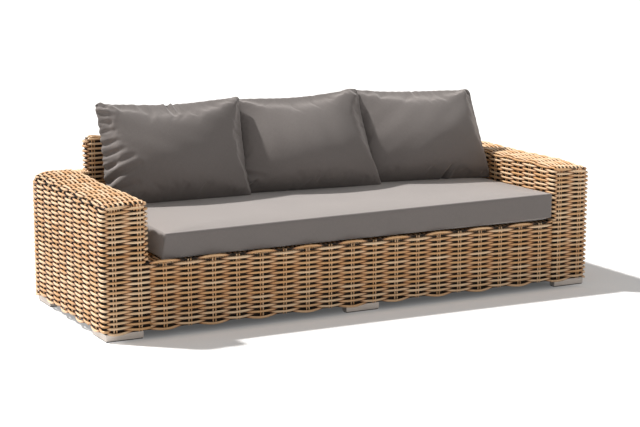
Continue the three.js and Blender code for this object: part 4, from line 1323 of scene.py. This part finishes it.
def finished(name, group, inputs, bump, distance, settings, see=None):
    """A material whose shader takes colour, roughness and bump from a finish group. A function of the graph
    and the colour can paint a sheen into the colour by how the surface is seen."""
    material, graph, shader = new_material(name)
    finish = graph.add("ShaderNodeGroup", inputs, node_tree=group).outputs
    relief = graph.add("ShaderNodeBump", {"Height": finish["Height"], "Strength": bump, "Distance": distance})
    # Painted sheen, where the material has one
    color = see(graph, finish["Color"]) if see else finish["Color"]
    graph.join(shader, {"Base Color": color, "Roughness": finish["Roughness"], "Normal": relief.outputs[0],
                        **settings})
    return material


# How the cane's streaks tint it, how its depth in the weave darkens it as painted shade, and by how much
# the stakes seem less deep to that painted shade
STREAK_TINT = (0.72, 0.5, 0.32)
DEPTH_SHADE_TINT = (0.46, 0.25, 0.11)
STAKE_SHADE_EASE = 0.0035


@made_once("node_groups", "Cane")
def cane_group():
    """Cane: a colour between two by each strand's tone, with long streaks, and a painted shade that deepens
    with the depth in the weave, less so on the stakes."""
    inputs = [("Pale", "c", (1, 1, 1)), ("Honey", "c", (1, 1, 1)), ("Shade", "c", (0, 0, 0))]
    group, graph, inside = new_finish("Cane", inputs)
    grain = graph.attribute("grain", "Vector")
    drift = graph.streaks(grain, (2.2, 0.15, 0.15), 3.0)
    mixed = graph.math("ADD", graph.times(graph.attribute("tone"), 0.75), graph.times(drift, 0.9))
    color = graph.blend(graph.spread(mixed, 0.35, 1.15), inside["Honey"], inside["Pale"])
    streak = graph.streaks(grain, (9.0, 2.6, 2.6), 4.0, 0.65)
    color = graph.tinted(graph.spread(streak, 0.42, 0.66, 0.0, 0.5), color, STREAK_TINT)
    # The stakes take less painted shade: their depth counts as less
    lift = graph.times(graph.attribute("glow"), STAKE_SHADE_EASE)
    seen = graph.math("SUBTRACT", graph.attribute("depth"), lift)
    # Painted shade: the colour darkens with the depth in the weave, and takes the shade colour where it is
    # deepest
    color = graph.tinted(graph.spread(seen, 0.0032, 0.0084, 0.0, 0.85), color, DEPTH_SHADE_TINT)
    deep = graph.spread(seen, 0.0063, 0.0092)
    color = graph.blend(deep, color, inside["Shade"])
    rough = graph.math("MAXIMUM", graph.spread(streak, 0.3, 0.7, 0.34, 0.5), deep)
    graph.add("NodeGroupOutput", {"Color": color, "Roughness": rough, "Height": streak})
    return group


@made_once("materials", "cane")
def cane_material():
    """The strands' finish, shared by all woven pieces."""
    weave = bpy.context.scene.sofa_weave
    inputs = {"Pale": (*weave.pale, 1), "Honey": (*weave.honey, 1), "Shade": (*weave.shade, 1)}
    return finished("cane", cane_group(), inputs, 0.25, 0.0006, {"Specular IOR Level": 0.6})


@made_once("node_groups", "Cover cloth")
def cloth_group():
    """Woven cover cloth: crossing threads in a plain weave, thicker slubs, soft cloudy fading, and a fine
    groove along the seams, darkened by painted shade."""
    group, graph, inside = new_finish("Cover cloth", [("Cloth", "c", (1, 1, 1)), ("Threads", "f", 600.0)])
    thread = graph.add("ShaderNodeUVMap", uv_map="thread").outputs["UV"]
    scaled = graph.add("ShaderNodeVectorMath", {0: thread, "Scale": inside["Threads"]}, operation="SCALE")
    parts = graph.add("ShaderNodeSeparateXYZ", {0: scaled.outputs[0]}).outputs
    warp, weft = (graph.math("SINE", graph.times(parts[k], 2 * math.pi)) for k in (0, 1))
    weave = graph.times(warp, weft)
    slub = graph.math("ADD", *(graph.streaks(thread, scale, 2.0) for scale in ((60, 900, 1), (900, 60, 1))))
    cloud = graph.noise(graph.add("ShaderNodeTexCoord").outputs["Object"], 5.0, 3.0)
    # The seam groove: a dip in the height, and painted shade in the colour
    groove_and_shade = graph.spread(graph.attribute("edge"), 0.0, 0.0022, 1.0, 0.0)
    color = inside["Cloth"]
    for share, tint in ((graph.spread(slub, 0.75, 1.25, 0.0, 0.35), (0.72, 0.71, 0.7)),
                        (graph.spread(cloud, 0.35, 0.7, 0.0, 0.22), (1.18, 1.17, 1.17)),
                        (graph.spread(weave, -0.9, 0.9, 0.28, 0.0), (0.62, 0.6, 0.59)),
                        # Painted shade in the seam groove
                        (graph.times(groove_and_shade, 0.55), (0.45, 0.44, 0.43))):
        color = graph.tinted(share, color, tint)
    height = graph.math("ADD", graph.times(weave, 0.5), graph.times(slub, 0.8))
    height = graph.math("SUBTRACT", height, graph.times(groove_and_shade, 3.0))
    rough = graph.spread(cloud, 0.3, 0.7, 0.84, 0.92)
    graph.add("NodeGroupOutput", {"Color": color, "Roughness": rough, "Height": height})
    return group


def cloth_material(name, painted_sheen, sheen):
    """A cover cloth, shared by the pieces of one kind. A painted sheen makes it paler by a factor where it is
    seen at a low angle."""
    def painted_sheen_tint(graph, color):
        facing = graph.add("ShaderNodeLayerWeight", {"Blend": 0.5}).outputs["Facing"]
        # Painted sheen: paler where the surface is seen at a low angle
        return graph.tinted(graph.spread(facing, 0.4, 0.85), color, (painted_sheen, painted_sheen, painted_sheen))

    cushions = bpy.context.scene.sofa_cushions
    inputs = {"Cloth": (*cushions.cloth, 1), "Threads": 1 / cushions.thread}
    settings = {"Specular IOR Level": 0.25, "Sheen Weight": sheen, "Sheen Roughness": 0.4}
    found = bpy.data.materials.get(name)
    return found or finished(name, cloth_group(), inputs, 0.35, 0.0004, settings, painted_sheen_tint)


@made_once("node_groups", "Hard finish")
def hard_group():
    """Hard finish: fine lines or grain along a stretched noise, soft clouds of dust, and a roughness that
    follows the clouds."""
    inputs = [("Base", "c", (1, 1, 1)), ("Stretch", "v", None), ("Contrast", "f", 0.2), ("Rough", "f", 0.4)]
    group, graph, inside = new_finish("Hard finish", inputs)
    coords = graph.add("ShaderNodeTexCoord").outputs["Object"]
    lines = graph.streaks(coords, inside["Stretch"], 3.0, 0.6)
    cloud = graph.noise(coords, 14.0, 3.0)
    worn = graph.tinted(graph.times(graph.spread(lines, 0.3, 0.7), inside["Contrast"]), inside["Base"],
                        (0.55, 0.53, 0.51))
    color = graph.blend(graph.spread(cloud, 0.4, 0.75, 0.0, 0.18), worn, (0.46, 0.42, 0.38))
    rough = graph.math("ADD", inside["Rough"], graph.spread(cloud, 0.3, 0.7, -0.05, 0.08))
    graph.add("NodeGroupOutput", {"Color": color, "Roughness": rough, "Height": lines})
    return group


# Each hard finish: its colour's setting, how its grain is stretched, how dark the grain is, how rough and how
# metallic the finish is, and the grain's height. The zips' grain makes ribs across them, along X.
FINE_GRAIN = (900.0, 900.0, 900.0)
HARD_FINISHES = {
    "foot metal": ("steel", (5.0, 5.0, 1400.0), 0.5, 0.34, 1.0, 0.0002),
    "frame coating": ("coating", FINE_GRAIN, 0.15, 0.45, 0.0, 0.0002),
    "glide plastic": ("plastic", FINE_GRAIN, 0.2, 0.55, 0.0, 0.0002),
    "zip pull metal": ("steel", FINE_GRAIN, 0.2, 0.3, 1.0, 0.0001),
    "zip": ("zip", (620.0, 8.0, 8.0), 0.8, 0.45, 0.0, 0.0008),
}
FINISH_BY_ENDING = {"foot": "foot metal", "glide": "glide plastic", "zip": "zip", "pull": "zip pull metal"}


def hard_material(name):
    """A hard finish, shared by the pieces of one kind."""
    setting, stretch, contrast, rough, metallic, grain = HARD_FINISHES[name]
    base = getattr(bpy.context.scene.sofa_finishes, setting)
    inputs = {"Base": (*base, 1), "Stretch": stretch, "Contrast": contrast, "Rough": rough}
    found = bpy.data.materials.get(name)
    return found or finished(name, hard_group(), inputs, 0.4, grain, {"Metallic": metallic})


class SOFA_OT_finish_hardware(bpy.types.Operator):
    """Finish the frame tubes, the feet, the glides, the seat cushion's zip and its pull"""
    bl_idname = "sofa.finish_hardware"
    bl_label = "Finish the hardware"

    def execute(self, context):
        for name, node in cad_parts.items():
            if not node.hide_render:
                finish = FINISH_BY_ENDING.get(name.split("_")[-1], "frame coating")
                node.data.materials.clear()
                node.data.materials.append(hard_material(finish))
        return {"FINISHED"}


# Stage

CAMERA_PLACE = (-3.241, -6.135, 1.590)
CAMERA_ROLL = math.radians(0.09)
KEY_TRAVEL = (0.56, -0.5, -1.0)
KEY_COLOR = (1.0, 0.985, 0.96)
SKY_COLOR = (1, 0.985, 0.97, 1)
FLOOR_HALF = 40.0

# Painted shadow and light on the floor: what is left of the floor's own tint and of its lift under the
# sofa, as painted shadow, and the painted glow beside its left end
UNDER_SHADOW_TINT = 0.62
UNDER_SHADOW_LIFT = 0.45
SIDE_PAINTED_GLOW = 0.2


def seen_rays(graph):
    """1 for the rays by which the camera sees a surface, straight, mirrored or through it, and 0 else."""
    rays = graph.add("ShaderNodeLightPath").outputs
    seen = graph.math("MAXIMUM", rays["Is Camera Ray"], rays["Is Glossy Ray"])
    return graph.math("MAXIMUM", seen, rays["Is Transmission Ray"])


class SOFA_OT_set_stage(bpy.types.Operator):
    """Set the pale floor, the backdrop, the lights and the camera"""
    bl_idname = "sofa.set_stage"
    bl_label = "Set the stage"

    def execute(self, context):
        scene, stage = context.scene, context.scene.sofa_stage
        self.lay_floor(stage)
        self.hang_backdrop(scene, stage)
        self.light(scene, stage)
        self.aim(scene, stage)
        scene.view_settings.view_transform = "Standard"
        return {"FINISHED"}

    def lay_floor(self, stage):
        """The floor: darker and less lifted near the sofa than away, as painted shadow, and aglow with
        painted light by its lit left side.
        """
        corners = np.array([[-1.0, -1, 0], [1, -1, 0], [1, 1, 0], [-1, 1, 0]]) * FLOOR_HALF
        floor = make_mesh("floor", corners, np.array([[0, 1, 2, 3]]))
        material, graph, shader = new_material("floor")
        coords = graph.add("ShaderNodeTexCoord").outputs["Object"]
        x, y, _ = graph.add("ShaderNodeSeparateXYZ", {0: coords}).outputs
        beside = graph.math("SUBTRACT", graph.math("ABSOLUTE", x), float(SIDE_X) - 0.1)
        before = graph.math("SUBTRACT", graph.math("ABSOLUTE", y), float(REAR_Y))
        away = graph.math("MAXIMUM", beside, before)
        tint = graph.spread(graph.noise(coords, 3.0), 0.3, 0.7, stage.floor - 0.01, stage.floor + 0.01)
        # Painted shadow: the floor's tint darkens near and under the sofa
        tint = graph.times(tint, graph.spread(away, -0.03, 0.07, UNDER_SHADOW_TINT))
        # Painted shadow: less lift under the sofa
        clear = graph.spread(away, -0.1, 0.05, UNDER_SHADOW_LIFT)
        # Painted light: a glow on the floor beside the sofa's left side
        painted_side_glow = graph.spread(graph.times(x, -1.0), SIDE_X - 0.12, SIDE_X - 0.03, 0.0, SIDE_PAINTED_GLOW)
        lifted = graph.math("ADD", graph.times(clear, stage.lift), painted_side_glow)
        lifted = graph.times(seen_rays(graph), lifted)
        graph.join(shader, {"Base Color": graph.grey(tint), "Roughness": 0.9, "Specular IOR Level": 0.0,
                            "Emission Color": graph.grey(lifted), "Emission Strength": 1.0})
        floor.data.materials.append(material)

    def hang_backdrop(self, scene, stage):
        """White where it is seen, and the fill light to all other rays."""
        scene.world = bpy.data.worlds.new("backdrop")
        scene.world.use_nodes = True
        scene.world.node_tree.nodes.clear()
        sky = Graph(scene.world.node_tree)
        strength = sky.spread(seen_rays(sky), 0.0, 1.0, stage.fill, 1.0)
        backdrop = sky.add("ShaderNodeBackground", {"Color": SKY_COLOR, "Strength": strength})
        sky.add("ShaderNodeOutputWorld", {"Surface": backdrop.outputs[0]})

    def light(self, scene, stage):
        """The key light, from the left, the rear and above."""
        lamp = bpy.data.lights.new("key", "SUN")
        lamp.energy, lamp.angle, lamp.color = stage.sun, stage.softness, KEY_COLOR
        key = bpy.data.objects.new("key", lamp)
        key.rotation_euler = Vector(KEY_TRAVEL).to_track_quat("-Z", "Y").to_euler()
        scene.collection.objects.link(key)

    def aim(self, scene, stage):
        """The camera, where the photo was taken from."""
        view = bpy.data.cameras.new("camera")
        view.lens, view.clip_end = stage.lens, 200
        camera = bpy.data.objects.new("camera", view)
        turn = Euler((QUARTER - stage.pitch, 0, -stage.yaw)).to_matrix()
        turn = turn @ Matrix.Rotation(CAMERA_ROLL, 3, "Z")
        camera.matrix_world = Matrix.LocRotScale(Vector(CAMERA_PLACE), turn, None)
        scene.collection.objects.link(camera)
        scene.camera = camera


# Panel and registration

class SOFA_PT_panel(bpy.types.Panel):
    """Lists the sofa's makers and settings"""
    bl_label = "Rattan garden sofa"
    bl_idname = "SOFA_PT_panel"
    bl_space_type = "VIEW_3D"
    bl_region_type = "UI"
    bl_category = "Sofa"

    def draw(self, context):
        for maker in OPERATORS:
            self.layout.operator(maker.bl_idname)
        for group in SETTINGS:
            for name in SETTINGS[group].__annotations__:
                self.layout.prop(getattr(context.scene, group), name)


SETTINGS = {"sofa_weave": SofaWeave, "sofa_cushions": SofaCushions, "sofa_finishes": SofaFinishes,
            "sofa_stage": SofaStage}
OPERATORS = (SOFA_OT_set_stage, SOFA_OT_weave_arms, SOFA_OT_weave_body, SOFA_OT_sew_seat_cushion,
             SOFA_OT_sew_back_cushions, SOFA_OT_finish_hardware)


def register():
    for kind in (*SETTINGS.values(), *OPERATORS, SOFA_PT_panel):
        bpy.utils.register_class(kind)
    for name, kind in SETTINGS.items():
        setattr(bpy.types.Scene, name, PointerProperty(type=kind))


def unregister():
    for name in SETTINGS:
        delattr(bpy.types.Scene, name)
    for kind in (SOFA_PT_panel, *OPERATORS[::-1], *tuple(SETTINGS.values())[::-1]):
        bpy.utils.unregister_class(kind)


def main():
    """Makes every piece in order."""
    register()
    for maker in OPERATORS:
        group, name = maker.bl_idname.split(".")
        getattr(getattr(bpy.ops, group), name)()


if __name__ == "__main__":
    main()
